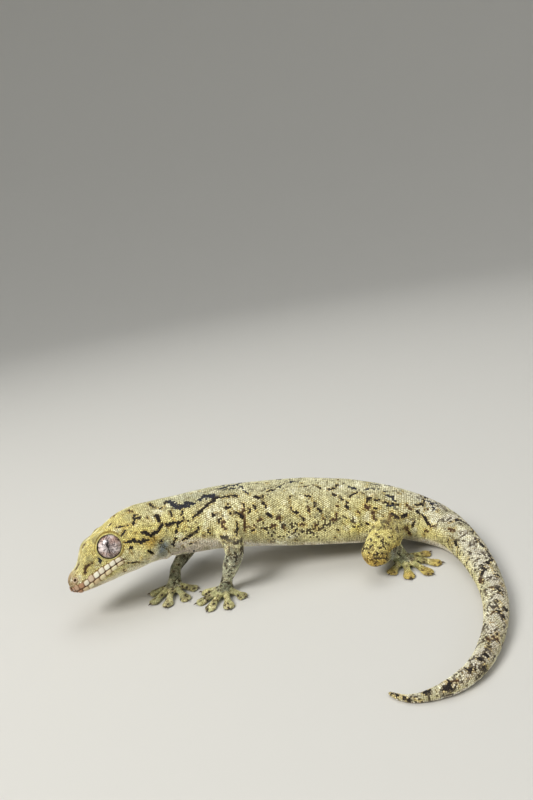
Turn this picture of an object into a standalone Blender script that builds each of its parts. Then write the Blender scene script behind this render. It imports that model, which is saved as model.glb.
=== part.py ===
"""Life-size still model of a Wahlberg's velvet gecko, head low and turned left, tail curled to the left.

Every size below is in millimetres and is scaled to metres as a mesh is made. +Z is up, the head points to -X
and the animal's left side faces -Y. Soles, palms and tail lie flat on Z = 0.
"""

import math

import bmesh
import bpy
import numpy as np
from mathutils import Matrix, Vector

MM = 0.001
GAP = 0.3
MERGE_DISTANCES = (1e-5, 5e-6, 2e-6, 1e-6, 3e-7)
FLOOR_CUT_DEPTH = 20.0

# Middle line of the animal from the tip of the snout to the tip of the tail: x, y, z
CENTRE_LINE = np.array([
    (-67.7, -17.9, 11.3), (-61.1, -14.5, 13.8), (-55.2, -11.4, 16.1), (-49.1, -8.4, 18.2),
    (-42.3, -6.0, 19.5), (-35.0, -4.4, 19.6), (-27.0, -3.0, 18.8), (-19.0, -1.7, 17.2),
    (-9.5, -0.4, 15.2), (0.5, 0.0, 13.6),
    (10.5, -0.8, 12.3), (20.0, -2.8, 11.2), (29.0, -5.4, 9.9), (35.4, -7.0, 7.9),
    (40.9, -11.6, 5.9), (44.0, -21.5, 4.2), (43.9, -34.0, 3.4), (41.7, -46.0, 3.0),
    (37.3, -56.2, 2.6), (32.4, -63.3, 2.25), (27.0, -68.0, 1.95), (21.4, -70.3, 1.55),
    (17.1, -70.8, 1.15), (13.1, -69.9, 0.8), (9.7, -66.8, 0.45),
])

# Sections along the middle line: distance from the snout, half width, top, bottom, height of the widest
# place, squareness of the outline (2 is an ellipse)
SECTIONS = np.array([
    (0.0, 1.5, 1.2, 1.4, -0.2, 2.0), (0.7, 2.7, 2.2, 2.3, -0.2, 2.1), (2.0, 3.8, 3.2, 3.2, -0.3, 2.2),
    (4.5, 5.2, 4.4, 4.0, -0.5, 2.3), (8.0, 6.6, 5.6, 4.9, -0.7, 2.35), (11.5, 7.9, 7.0, 5.8, -0.8, 2.35),
    (15.0, 8.9, 8.2, 6.8, -0.9, 2.3), (18.5, 9.7, 9.0, 7.6, -1.1, 2.3), (22.0, 10.2, 9.2, 8.2, -1.2, 2.25),
    (25.0, 9.9, 8.9, 8.8, -1.1, 2.2), (28.5, 9.2, 8.2, 9.4, -0.8, 2.15), (34.0, 8.9, 7.6, 9.8, -0.4, 2.1),
    (40.0, 9.4, 7.8, 10.0, -0.3, 2.1), (46.0, 10.3, 8.4, 9.8, -0.5, 2.1), (53.0, 11.2, 9.1, 9.3, -0.7, 2.15),
    (62.0, 12.1, 9.6, 9.1, -1.0, 2.15), (72.0, 12.6, 9.9, 9.0, -1.2, 2.2), (82.0, 12.3, 9.6, 8.8, -1.2, 2.2),
    (91.0, 11.0, 8.9, 8.6, -0.9, 2.15), (99.0, 9.2, 8.0, 7.6, -0.6, 2.1), (106.0, 7.6, 6.9, 6.9, -0.5, 2.1),
    (111.0, 6.7, 6.1, 6.7, -0.3, 2.1), (117.0, 5.6, 5.2, 6.2, 0.0, 2.0), (124.5, 4.6, 4.3, 4.9, 0.0, 2.0),
    (134.0, 3.9, 3.6, 4.0, 0.0, 2.0), (146.0, 3.35, 3.1, 3.45, 0.0, 2.0), (157.0, 2.9, 2.7, 3.05, 0.0, 2.0),
    (167.0, 2.45, 2.25, 2.7, 0.0, 2.0), (175.0, 2.1, 1.95, 2.35, 0.0, 2.0), (182.5, 1.65, 1.5, 1.9, 0.0, 2.0),
    (188.0, 1.2, 1.1, 1.45, 0.0, 2.0), (193.0, 0.8, 0.75, 1.1, 0.0, 2.0), (197.5, 0.35, 0.35, 0.6, 0.0, 2.0),
])

# Turn of the sections about the middle line, left side up: distance from the snout, degrees
ROLLS = np.array([
    (0.0, 15.0), (26.0, 14.0), (45.0, 7.0), (75.0, 4.0), (100.0, 1.0), (115.0, 0.0), (200.0, 0.0),
])

# Swellings and hollows of the head, alike on both sides: distance from the snout, degrees above the side,
# height, reach along the head, reach round it in degrees
HEAD_FORMS = (
    (13.5, 56.0, 0.75, 3.6, 17.0),   # brow over the eye
    (22.0, -12.0, 0.45, 3.4, 26.0),  # jaw muscle
    (7.0, 44.0, 0.60, 3.6, 15.0),    # ridge from eye to nostril
    (8.6, 16.0, -0.45, 2.8, 15.0),   # hollow before the eye
    (2.0, 42.0, 0.30, 1.1, 20.0),    # rim of the nostril
    (9.2, 70.0, 1.75, 3.0, 25.0),    # forehead before the eyes
    (4.5, 80.0, -0.30, 2.0, 40.0),   # bridge of the snout
)

# Places where the trunk is parted, by distance from the snout
NODE_ENDS = {
    "head": (0.0, 28.0), "neck": (28.0, 42.0), "torso": (42.0, 106.0), "tail_root": (106.0, 128.0),
    "tail_front": (128.0, 151.0), "tail_rear": (151.0, 174.0), "tail_tip": (174.0, 197.5),
}
NODE_SIDES = {
    "head": 32, "neck": 24, "torso": 24, "tail_root": 20, "tail_front": 16, "tail_rear": 14, "tail_tip": 12,
}
NODE_RINGS = {
    "head": 18, "neck": 6, "torso": 17, "tail_root": 8, "tail_front": 8, "tail_rear": 8, "tail_tip": 9,
}

# Eye, by distance from the snout, sideways and up from the middle line
EYE_AT = (15.0, 5.8, 3.8)
EYE_RADIUS = 3.85
EYE_FORWARD_DEG = 14.0
EYE_UP_DEG = 6.0
EYE_RIM_RADIUS = 3.75
EYE_RIM_THICK = 0.45
EYE_RIM_OUT = 2.65
# Skin that holds the eyeball, and the opening in it that the rim stands round
ORBIT_RADIUS = 4.5
ORBIT_OPENING = 3.4
ORBIT_OPENING_FROM = 1.9

NOSTRIL_AT = (1.75, 2.7, 1.35)
NOSTRIL_RADIUS = 0.42
NOSTRIL_DEPTH = 1.3
EAR_AT = (23.6, 9.5, -3.9)
EAR_SIZE = (0.36, 1.0, 1.5)
EAR_LEAN_DEG = -27.0

# Line of the mouth, then the back edge of the lower jaw: distance from the snout, height
MOUTH_LINE = (
    (-2.0, -1.4), (1.0, -1.6), (3.5, -1.7), (7.0, -1.35), (10.5, -1.05), (14.0, -0.95), (16.8, -1.4),
)
JAW_BACK = ((18.4, -3.5), (20.4, -6.6), (21.0, -15.0), (-4.0, -15.0))
JAW_HALF_WIDTH = 16.0
MOUTH_GAP = 0.32

LIP_PLATES = 8
LIP_PLATE_START = 2.6
LIP_PLATE_PITCH = 1.65
LIP_PLATE_HEIGHT = (1.75, 1.35)
LIP_PLATE_PROUD = 0.22

# Limbs: root in the trunk, middle joint and wrist or ankle, then the palm's middle, all x, y, z
LIMBS = {
    "arm_left": ((-21.6, -7.4, 20.2), (-20.4, -17.4, 12.6), (-24.2, -15.4, 4.3), (-25.4, -16.4, 1.3)),
    "arm_right": ((-25.5, 3.6, 16.2), (-33.0, 8.2, 9.2), (-40.4, -4.6, 4.6), (-41.0, -9.4, 1.3)),
    "leg_left": ((27.5, -8.6, 9.8), (17.7, -22.3, 7.4), (25.0, -15.6, 4.4), (26.6, -17.2, 1.3)),
    "leg_right": ((28.5, -1.5, 9.8), (21.6, 12.6, 8.2), (30.2, 7.6, 3.5), (32.6, 9.6, 1.3)),
}
LIMB_NODES = {
    "arm_left": ("upper_arm_left", "forearm_left", "hand_left"),
    "arm_right": ("upper_arm_right", "forearm_right", "hand_right"),
    "leg_left": ("thigh_left", "shin_left", "foot_left"),
    "leg_right": ("thigh_right", "shin_right", "foot_right"),
}
# Half thickness at the root, middle and end of the upper length, then of the lower length
ARM_THICK = ((4.5, 3.7, 2.6), (2.5, 2.5, 1.6))
LEG_THICK = ((4.8, 4.4, 3.6), (3.5, 3.3, 2.0))
LIMB_SIDES = 10
LIMB_RINGS = 7

# Digits: heading on the floor in degrees from +X, and reach from the palm's middle
DIGITS = {
    "arm_left": ((164.0, 7.6), (204.0, 9.2), (240.0, 9.8), (278.0, 9.4), (322.0, 7.6)),
    "arm_right": ((186.0, 7.6), (226.0, 9.4), (262.0, 10.0), (300.0, 9.4), (342.0, 7.6)),
    "leg_left": ((224.0, 7.6), (266.0, 9.4), (303.0, 10.6), (338.0, 10.8), (18.0, 9.0)),
    "leg_right": ((172.0, 8.4), (128.0, 10.8), (86.0, 12.0), (46.0, 12.2), (4.0, 9.6)),
}
PALM_SIZE = {"arm": (3.0, 2.7, 1.5), "leg": (3.5, 3.0, 1.6)}
# Along a digit: share of its reach, half width, half thickness, height of its middle
DIGIT_FORM = (
    (0.10, 1.00, 0.80, 1.25), (0.40, 0.92, 0.78, 1.30), (0.60, 1.02, 0.72, 0.95), (0.78, 1.68, 0.62, 0.52),
    (0.92, 1.50, 0.55, 0.45), (1.00, 0.75, 0.42, 0.45),
)
DIGIT_SIDES = 7
CLAW_LENGTH = 0.85
CLAW_RADIUS = 0.26

SKIN_COLOUR = (0.62, 0.58, 0.33, 1.0)
EYE_COLOUR = (0.58, 0.46, 0.45, 1.0)


def spline(knots, values, places):
    """Natural cubic spline through the values at the knots, read at the places."""
    knots, values = np.asarray(knots, float), np.asarray(values, float)
    steps = np.diff(knots)
    slopes = np.diff(values, axis=0) / steps.reshape((-1,) + (1,) * (values.ndim - 1))
    system = np.eye(len(knots))
    right = np.zeros_like(values)
    for i in range(1, len(knots) - 1):
        system[i, i - 1:i + 2] = steps[i - 1], 2 * (steps[i - 1] + steps[i]), steps[i]
        right[i] = 6 * (slopes[i] - slopes[i - 1])
    bends = np.linalg.solve(system, right)
    places = np.atleast_1d(np.asarray(places, float))
    i = np.clip(np.searchsorted(knots, places) - 1, 0, len(steps) - 1)
    shape = (-1,) + (1,) * (values.ndim - 1)
    h = steps[i].reshape(shape)
    before = (places - knots[i]).reshape(shape)
    after = h - before
    return (
        (bends[i] * after ** 3 + bends[i + 1] * before ** 3) / (6 * h)
        + (values[i] / h - bends[i] * h / 6) * after
        + (values[i + 1] / h - bends[i + 1] * h / 6) * before
    )


CENTRE_KNOTS = np.concatenate([[0.0], np.cumsum(np.linalg.norm(np.diff(CENTRE_LINE, axis=0), axis=1))])


def trunk_frame(along):
    """Middle, tailward, left and up directions of the trunk at a distance from the snout."""
    middle = spline(CENTRE_KNOTS, CENTRE_LINE, along)[0]
    ahead, behind = spline(CENTRE_KNOTS, CENTRE_LINE, [along + 0.5, along - 0.5])
    tailward = (ahead - behind) / np.linalg.norm(ahead - behind)
    left = np.cross(tailward, (0.0, 0.0, 1.0))
    left /= np.linalg.norm(left)
    up = np.cross(left, tailward)
    roll = math.radians(np.interp(along, ROLLS[:, 0], ROLLS[:, 1]))
    return (
        middle, tailward,
        left * math.cos(roll) + up * math.sin(roll),
        up * math.cos(roll) - left * math.sin(roll),
    )


def head_form(along, degrees):
    """How far the head's own swellings lift its surface at a distance from the snout and an angle."""
    height = 0.0
    for place, angle, lift, reach, spread in HEAD_FORMS:
        for side in (angle, 180.0 - angle):
            turn = (degrees - side + 180.0) % 360.0 - 180.0
            height += lift * math.exp(-((along - place) / reach) ** 2 - (turn / spread) ** 2)
    return height


def trunk_ring(along, sides, grown=0.0):
    """Points of the trunk's outline at a distance from the snout, grown outwards, flattened on the floor."""
    middle, _, left, up = trunk_frame(along)
    width, top, bottom, belt, power = spline(SECTIONS[:, 0], SECTIONS[:, 1:], along)[0]
    ring = []
    for i in range(sides):
        turn = 2 * math.pi * i / sides
        c, s = math.cos(turn), math.sin(turn)
        across = math.copysign(abs(c) ** (2 / power), c) * width
        rise = math.copysign(abs(s) ** (2 / power), s) * (top - belt if s > 0 else bottom + belt)
        reach = math.hypot(across, rise)
        wide = 1 + (grown + head_form(along, math.degrees(turn))) / max(reach, 0.3)
        point = middle + left * across * wide + up * (belt + rise * wide)
        if grown == 0.0:
            point[2] = max(point[2], 0.0)
        ring.append(point)
    return ring


def in_head(place):
    """World place of a point given by distance from the snout, sideways to the left, and up."""
    middle, _, left, up = trunk_frame(place[0])
    return Vector(middle + left * place[1] + up * place[2])


def new_object(name, mesh):
    obj = bpy.data.objects.new(name, mesh)
    gecko.objects.link(obj)
    return obj


def from_bmesh(name, bm):
    bmesh.ops.recalc_face_normals(bm, faces=bm.faces)
    mesh = bpy.data.meshes.new(name)
    bm.to_mesh(mesh)
    bm.free()
    return new_object(name, mesh)


def loft(name, rings):
    """Closed solid through rings of equal count, with flat ends."""
    bm = bmesh.new()
    layers = [[bm.verts.new(Vector(p) * MM) for p in ring] for ring in rings]
    sides = len(layers[0])
    for one, two in zip(layers, layers[1:]):
        for i in range(sides):
            j = (i + 1) % sides
            bm.faces.new((one[i], one[j], two[j], two[i]))
    for end in (layers[0], layers[-1]):
        bm.faces.new(end)
    return from_bmesh(name, bm)


def tube_rings(points, thick, sides, flat=1.0):
    """Rings of a limb along a smooth line through the points, round ended, flatter up by the share flat."""
    points = np.array(points, float)
    knots = np.concatenate([[0.0], np.cumsum(np.linalg.norm(np.diff(points, axis=0), axis=1))])
    length = knots[-1]
    first, last = thick[0], thick[-1]
    ends = [(math.sin(math.radians(a)), 1 - math.cos(math.radians(a))) for a in (18.0, 50.0)]
    places = [(-first * 0.8 + first * 0.8 * e, w) for w, e in ends]
    places += [(length * i / (LIMB_RINGS - 1), 1.0) for i in range(LIMB_RINGS)]
    places += [(length + last * 0.8 - last * 0.8 * e, w) for w, e in reversed(ends)]
    rings = []
    for place, share in places:
        middle = spline(knots, points, min(max(place, 0.0), length))[0]
        around = [max(min(place, length) - 0.3, 0.0), min(max(place, 0.0) + 0.3, length)]
        near, far = spline(knots, points, around)
        heading = (far - near) / np.linalg.norm(far - near)
        middle = middle + heading * (place - min(max(place, 0.0), length))
        side = np.cross(heading, (0.0, 0.0, 1.0))
        side /= np.linalg.norm(side)
        over = np.cross(side, heading)
        radius = share * np.interp(place, np.linspace(0.0, length, len(thick)), thick)
        rings.append([
            middle + side * radius * math.cos(2 * math.pi * i / sides)
            + over * radius * flat * math.sin(2 * math.pi * i / sides)
            for i in range(sides)
        ])
    return rings


def ellipsoid(name, middle, size, turn=None, segments=12, rings=8):
    """A ball scaled to three half sizes, turned, at a place."""
    bm = bmesh.new()
    bmesh.ops.create_uvsphere(bm, u_segments=segments, v_segments=rings, radius=1.0)
    turn = Matrix.Identity(3) if turn is None else turn
    shape = turn.to_4x4() @ Matrix.Diagonal(Vector(size) * MM).to_4x4()
    bmesh.ops.transform(bm, matrix=Matrix.Translation(Vector(middle) * MM) @ shape, verts=bm.verts)
    return from_bmesh(name, bm)


def cone(name, root, tip, radius, end_radius=0.0, segments=8):
    """A cone or rod from root to tip."""
    root, tip = Vector(root), Vector(tip)
    bm = bmesh.new()
    bmesh.ops.create_cone(
        bm, cap_ends=True, segments=segments, radius1=radius * MM, radius2=end_radius * MM,
        depth=(tip - root).length * MM,
    )
    turn = (tip - root).to_track_quat("Z", "Y").to_matrix().to_4x4()
    bmesh.ops.transform(bm, matrix=Matrix.Translation((root + tip) / 2 * MM) @ turn, verts=bm.verts)
    return from_bmesh(name, bm)


def bake_modifiers(obj):
    """Makes the object's modifiers part of its mesh."""
    bpy.context.view_layer.update()
    evaluated = obj.evaluated_get(bpy.context.evaluated_depsgraph_get())
    mesh = bpy.data.meshes.new_from_object(evaluated)
    obj.modifiers.clear()
    obj.data = mesh


def boolean(obj, operation, others):
    """One Boolean of the object with several others, which are then removed."""
    tools = bpy.data.collections.new("tools")
    bpy.context.scene.collection.children.link(tools)
    for other in others:
        gecko.objects.unlink(other)
        tools.objects.link(other)
    step = obj.modifiers.new(operation.lower(), "BOOLEAN")
    step.operation = operation
    step.operand_type = "COLLECTION"
    step.collection = tools
    step.solver = "EXACT"
    bake_modifiers(obj)
    for other in others:
        bpy.data.objects.remove(other)
    bpy.data.collections.remove(tools)
    keep_largest(obj)
    return obj


def in_order(mesh):
    """Puts the points of a mesh and the corners of its faces in one fixed order, by place."""
    order = sorted(range(len(mesh.vertices)), key=lambda i: tuple(mesh.vertices[i].co))
    rank = {old: new for new, old in enumerate(order)}
    points = [mesh.vertices[i].co.copy() for i in order]
    faces = []
    for polygon in mesh.polygons:
        corners = [rank[i] for i in polygon.vertices]
        first = corners.index(min(corners))
        faces.append(tuple(corners[first:] + corners[:first]))
    mesh.clear_geometry()
    mesh.from_pydata(points, [], sorted(faces))


def merged(mesh):
    """The mesh with close points merged, by the widest distance that leaves two faces at every edge."""
    for distance in MERGE_DISTANCES:
        bm = bmesh.new()
        bm.from_mesh(mesh)
        bmesh.ops.remove_doubles(bm, verts=bm.verts, dist=distance)
        bmesh.ops.dissolve_degenerate(bm, edges=bm.edges, dist=distance)
        bmesh.ops.triangulate(bm, faces=bm.faces)
        loose = [edge for edge in bm.edges if not edge.link_faces]
        bmesh.ops.delete(bm, geom=loose, context="EDGES")
        if all(len(edge.link_faces) == 2 for edge in bm.edges):
            break
        if distance != MERGE_DISTANCES[-1]:
            bm.free()
    return bm


def keep_largest(obj):
    """Drops every closed surface of the mesh but the one that holds most."""
    in_order(obj.data)
    bm = merged(obj.data)
    seen, shells = set(), []
    for start in bm.faces:
        if start in seen:
            continue
        shell, waiting = [], [start]
        seen.add(start)
        while waiting:
            face = waiting.pop()
            shell.append(face)
            for edge in face.edges:
                for other in edge.link_faces:
                    if other not in seen:
                        seen.add(other)
                        waiting.append(other)
        shells.append(shell)
    shells.sort(key=volume_of, reverse=True)
    rest = [face for shell in shells[1:] for face in shell]
    bmesh.ops.delete(bm, geom=rest, context="FACES")
    bm.to_mesh(obj.data)
    bm.free()


def volume_of(shell):
    """Six times the volume inside a list of triangles."""
    return abs(sum(f.verts[0].co.dot(f.verts[1].co.cross(f.verts[2].co)) for f in shell))


def copy_of(obj, name):
    return new_object(name, obj.data.copy())


def floor_block():
    """Everything under the floor, to cut soles flat."""
    bm = bmesh.new()
    bmesh.ops.create_cube(bm, size=1.0)
    size = Matrix.Diagonal((400.0 * MM, 400.0 * MM, FLOOR_CUT_DEPTH * MM, 1.0))
    place = Matrix.Translation((0.0, 0.0, -FLOOR_CUT_DEPTH / 2 * MM))
    bmesh.ops.transform(bm, matrix=place @ size, verts=bm.verts)
    return from_bmesh("floor_block", bm)


def trunk_length(name, start, end, sides, rings, grown=0.0):
    """One length of head, neck, body or tail as a solid."""
    crowd = 1.6 if start == 0.0 else 1.0  # rings stand closer at the snout
    places = [start + (end - start) * (i / (rings - 1)) ** crowd for i in range(rings)]
    return loft(name, [trunk_ring(p, sides, grown) for p in places])


def jaw_prism(name, grown):
    """Slab under the line of the mouth and before the back of the jaw, grown outwards all round."""
    outline = [(a - (grown if a < 0 else 0), h + grown) for a, h in MOUTH_LINE]
    outline += [(a + grown, h + (grown if h > -5 else 0)) for a, h in JAW_BACK[:-1]] + [JAW_BACK[-1]]
    faces = []
    for side in (-JAW_HALF_WIDTH, JAW_HALF_WIDTH):
        faces.append([in_head((a, side, h)) for a, h in outline])
    return loft(name, faces)


def eye_axis(side):
    """Middle of the eyeball and the way it looks, for the left (1) or right (-1) side."""
    middle, tailward, left, up = trunk_frame(EYE_AT[0])
    ahead, rise = math.radians(EYE_FORWARD_DEG), math.radians(EYE_UP_DEG)
    look = left * side * math.cos(ahead) * math.cos(rise) - tailward * math.sin(ahead) + up * math.sin(rise)
    return in_head((EYE_AT[0], side * EYE_AT[1], EYE_AT[2])), Vector(look).normalized()


def eye_rim(side):
    """The raised ring of scales round the eye, in place of a lid."""
    middle, look = eye_axis(side)
    bm = bmesh.new()
    bmesh.ops.create_circle(bm, segments=6, radius=EYE_RIM_THICK * MM)
    stand = Matrix.Translation((EYE_RIM_RADIUS * MM, 0, 0)) @ Matrix.Rotation(math.radians(90), 4, "X")
    bmesh.ops.transform(bm, matrix=stand, verts=bm.verts)
    bmesh.ops.spin(
        bm, geom=bm.verts[:] + bm.edges[:], cent=(0, 0, 0), axis=(0, 0, 1), angle=2 * math.pi, steps=20,
    )
    bmesh.ops.remove_doubles(bm, verts=bm.verts, dist=0.00002)
    out = middle + look * EYE_RIM_OUT
    turn = look.to_track_quat("Z", "Y").to_matrix().to_4x4()
    bmesh.ops.transform(bm, matrix=Matrix.Translation(out * MM) @ turn, verts=bm.verts)
    return from_bmesh("eye_rim", bm)


def side_at(along, height):
    """How far the head's surface stands out sideways at a height over its middle line."""
    width, top, bottom, belt, power = spline(SECTIONS[:, 0], SECTIONS[:, 1:], along)[0]
    share = (height - belt) / (top - belt if height > belt else bottom + belt)
    return width * max(1 - abs(share) ** power, 0.0) ** (1 / power)


def lip_plates(side, upper):
    """The row of large scales along one lip, each a low rounded plate sunk in the lip."""
    plates = []
    for i in range(LIP_PLATES - (0 if upper else 1)):
        along = LIP_PLATE_START + LIP_PLATE_PITCH * (i + (0.0 if upper else 0.45))
        tall = LIP_PLATE_HEIGHT[0] + (LIP_PLATE_HEIGHT[1] - LIP_PLATE_HEIGHT[0]) * i / LIP_PLATES
        line = float(np.interp(along, *zip(*MOUTH_LINE)))
        height = line + (0.62 * tall if upper else -0.52 * tall)
        out = side_at(along, height)
        nearer = side_at(along - 0.5, height)
        heading = math.atan2(side_at(along + 0.5, height) - nearer, 1.0)
        _, tailward, left, up = trunk_frame(along)
        run = Vector(tailward * math.cos(heading) + left * side * math.sin(heading))
        out_way = Vector(left * side * math.cos(heading) - tailward * math.sin(heading))
        turn = Matrix((run, Vector(up), out_way)).transposed()
        size = (LIP_PLATE_PITCH * 0.50, tall * 0.52, 0.9)
        middle = in_head((along, side * (out - 0.9 + LIP_PLATE_PROUD), height))
        plates.append(ellipsoid("lip_plate", middle, size, turn, segments=8, rings=5))
    return plates


def build_head():
    """Head and lower jaw, parted along the mouth, with eye sockets, nostrils and ear openings."""
    start, end = NODE_ENDS["head"]
    head = trunk_length("head", start, end - GAP, NODE_SIDES["head"], NODE_RINGS["head"])
    forms, hollows = [], []
    for side in (1, -1):
        middle, look = eye_axis(side)
        forms.append(ellipsoid("orbit", middle, (ORBIT_RADIUS,) * 3, segments=20, rings=12))
        forms.append(eye_rim(side))
        forms += lip_plates(side, True) + lip_plates(side, False)
        hollows.append(ellipsoid("socket", middle, (EYE_RADIUS + GAP,) * 3, segments=20, rings=12))
        inner, outer = middle + look * ORBIT_OPENING_FROM, middle + look * (ORBIT_RADIUS + 2.0)
        hollows.append(cone("opening", inner, outer, ORBIT_OPENING, ORBIT_OPENING, segments=20))
        nostril = in_head((NOSTRIL_AT[0], side * NOSTRIL_AT[1], NOSTRIL_AT[2]))
        _, tailward, left, up = trunk_frame(NOSTRIL_AT[0])
        out = Vector(left * side * 0.75 - tailward * 0.35 + up * 0.55).normalized()
        inner, outer = nostril - out * NOSTRIL_DEPTH, nostril + out * 2.0
        hollows.append(cone("nostril", inner, outer, NOSTRIL_RADIUS, NOSTRIL_RADIUS))
        _, tailward, left, up = trunk_frame(EAR_AT[0])
        lean = math.radians(EAR_LEAN_DEG)
        tall = Vector(up * math.cos(lean) + tailward * math.sin(lean))
        out = Vector(left * side)
        turn = Matrix((out.cross(tall), out, tall)).transposed()
        ear = in_head((EAR_AT[0], side * EAR_AT[1], EAR_AT[2]))
        hollows.append(ellipsoid("ear", ear, EAR_SIZE, turn, 10, 8))
    boolean(head, "UNION", forms)
    boolean(head, "DIFFERENCE", hollows)
    jaw = copy_of(head, "jaw")
    boolean(jaw, "INTERSECT", [jaw_prism("jaw_form", 0.0)])
    boolean(head, "DIFFERENCE", [jaw_prism("mouth_cut", MOUTH_GAP)])
    for side, name in ((1, "eye_left"), (-1, "eye_right")):
        middle, look = eye_axis(side)
        turn = look.to_track_quat("Z", "Y").to_matrix()
        ellipsoid(name, middle, (EYE_RADIUS,) * 3, turn, segments=22, rings=12)
    return head, jaw


def digit(palm, heading, reach):
    """One toe: a flattened lobe that widens to its pad, with a claw at its tip."""
    turn = math.radians(heading)
    ahead = np.array((math.cos(turn), math.sin(turn), 0.0))
    side = np.array((-ahead[1], ahead[0], 0.0))
    rings = []
    for share, wide, thick, height in DIGIT_FORM:
        middle = np.array((palm[0], palm[1], height)) + ahead * reach * share
        rings.append([
            middle + side * wide * math.cos(2 * math.pi * i / DIGIT_SIDES)
            + np.array((0, 0, thick)) * math.sin(2 * math.pi * i / DIGIT_SIDES)
            for i in range(DIGIT_SIDES)
        ])
    tip = Vector(palm) + Vector(ahead) * (reach - 0.45)
    tip.z = 0.62
    end = tip + Vector(ahead) * (CLAW_LENGTH + 0.45) + Vector((0, 0, -0.22))
    return [loft("digit", rings), cone("claw", tip, end, CLAW_RADIUS, 0.05, segments=6)]


def build_limb(limb, trunk_cutters):
    """Upper length, lower length and hand or foot, each cut clear of what it grows from."""
    root, joint, wrist, palm = LIMBS[limb]
    upper_name, lower_name, hand_name = LIMB_NODES[limb]
    kind = limb.split("_")[0]
    upper_thick, lower_thick = ARM_THICK if kind == "arm" else LEG_THICK
    upper = loft(upper_name, tube_rings([root, joint], upper_thick, LIMB_SIDES))
    upper_grown = loft("grown", tube_rings([root, joint], [t + GAP for t in upper_thick], LIMB_SIDES))
    boolean(upper, "DIFFERENCE", [copy_of(c, "cutter") for c in trunk_cutters])
    lower = loft(lower_name, tube_rings([joint, wrist], lower_thick, LIMB_SIDES))
    lower_grown = loft("grown", tube_rings([joint, wrist], [t + GAP for t in lower_thick], LIMB_SIDES))
    boolean(lower, "DIFFERENCE", [upper_grown] + [copy_of(c, "cutter") for c in trunk_cutters])
    hand = ellipsoid(hand_name, palm, PALM_SIZE[kind], palm_turn(limb), segments=10, rings=6)
    pieces = [loft("wrist", tube_rings([palm, wrist], (2.0, lower_thick[-1] * 1.05), LIMB_SIDES))]
    for heading, reach in DIGITS[limb]:
        pieces += digit(palm, heading, reach)
    boolean(hand, "UNION", pieces)
    boolean(hand, "DIFFERENCE", [lower_grown, floor_block()])
    return [upper, lower, hand]


def palm_turn(limb):
    """Turn that lays the palm's long side along the middle digit."""
    return Matrix.Rotation(math.radians(DIGITS[limb][2][0]), 3, "Z")


def finish_material(name, colour, roughness):
    material = bpy.data.materials.new(name)
    material.use_nodes = True
    shader = material.node_tree.nodes["Principled BSDF"]
    shader.inputs["Base Color"].default_value = colour
    shader.inputs["Roughness"].default_value = roughness
    return material


for old in list(bpy.data.objects):
    bpy.data.objects.remove(old)
gecko = bpy.data.collections.new("velvet_gecko")
bpy.context.scene.collection.children.link(gecko)

build_head()
for node, (start, end) in NODE_ENDS.items():
    if node != "head":
        stop = end if node == "tail_tip" else end - GAP
        trunk_length(node, start, stop, NODE_SIDES[node], NODE_RINGS[node])
cutters = [trunk_length("trunk_grown", 24.0, 124.0, 28, 34, GAP * 1.15)]
for limb_name in LIMBS:
    build_limb(limb_name, cutters)
for cutter in cutters:
    bpy.data.objects.remove(cutter)

# The frame's origin is under the middle of the model, on the floor
corners = np.array([v.co[:] for node in gecko.objects for v in node.data.vertices])
centre = (corners.min(axis=0) + corners.max(axis=0)) / 2
for node in gecko.objects:
    node.data.transform(Matrix.Translation((-centre[0], -centre[1], -corners[:, 2].min())))

skin = finish_material("skin", SKIN_COLOUR, 0.62)
eye = finish_material("eye", EYE_COLOUR, 0.12)
for node in gecko.objects:
    node.data.materials.clear()
    node.data.materials.append(eye if node.name.startswith("eye") else skin)
    node.data.shade_smooth()
    node.data.set_sharp_from_angle(angle=math.radians(50))
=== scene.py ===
"""Looks of the life-size Wahlberg's velvet gecko: one skin, solid scales, markings, eyes, lips and claws.

Places and sizes are in millimetres in the animal's own frame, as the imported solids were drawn, and are moved
onto them and scaled to metres as each mesh is made. Distances along the animal run from the tip of its snout.
Angles round it are in degrees: 0 is its left side, 90 its back, 180 its right side and -90 its belly.
"""

import math

import bpy
import numpy as np
from mathutils import Matrix, Vector
from mathutils.bvhtree import BVHTree


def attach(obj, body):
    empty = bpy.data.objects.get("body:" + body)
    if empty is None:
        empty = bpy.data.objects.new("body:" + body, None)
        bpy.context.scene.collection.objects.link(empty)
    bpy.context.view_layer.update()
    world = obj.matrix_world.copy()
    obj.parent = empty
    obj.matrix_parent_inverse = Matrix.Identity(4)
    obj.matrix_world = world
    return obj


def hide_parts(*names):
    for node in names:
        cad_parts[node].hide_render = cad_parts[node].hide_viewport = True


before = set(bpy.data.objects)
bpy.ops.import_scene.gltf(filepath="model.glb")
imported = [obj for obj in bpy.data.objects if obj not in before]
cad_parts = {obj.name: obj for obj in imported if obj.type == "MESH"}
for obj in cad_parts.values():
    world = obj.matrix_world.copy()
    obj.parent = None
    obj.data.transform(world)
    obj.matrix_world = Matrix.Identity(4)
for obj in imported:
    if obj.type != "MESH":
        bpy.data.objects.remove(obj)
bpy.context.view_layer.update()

bl_info = {
    "name": "Velvet Gecko Model",
    "version": (1, 0, 0),
    "blender": (4, 5, 0),
    "location": "3D View > Sidebar > Gecko",
    "description": "Skin, scales, eyes, lips and claws of a life-size velvet gecko, with a small studio",
    "category": "Add Mesh",
}

MM = 0.001

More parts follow.
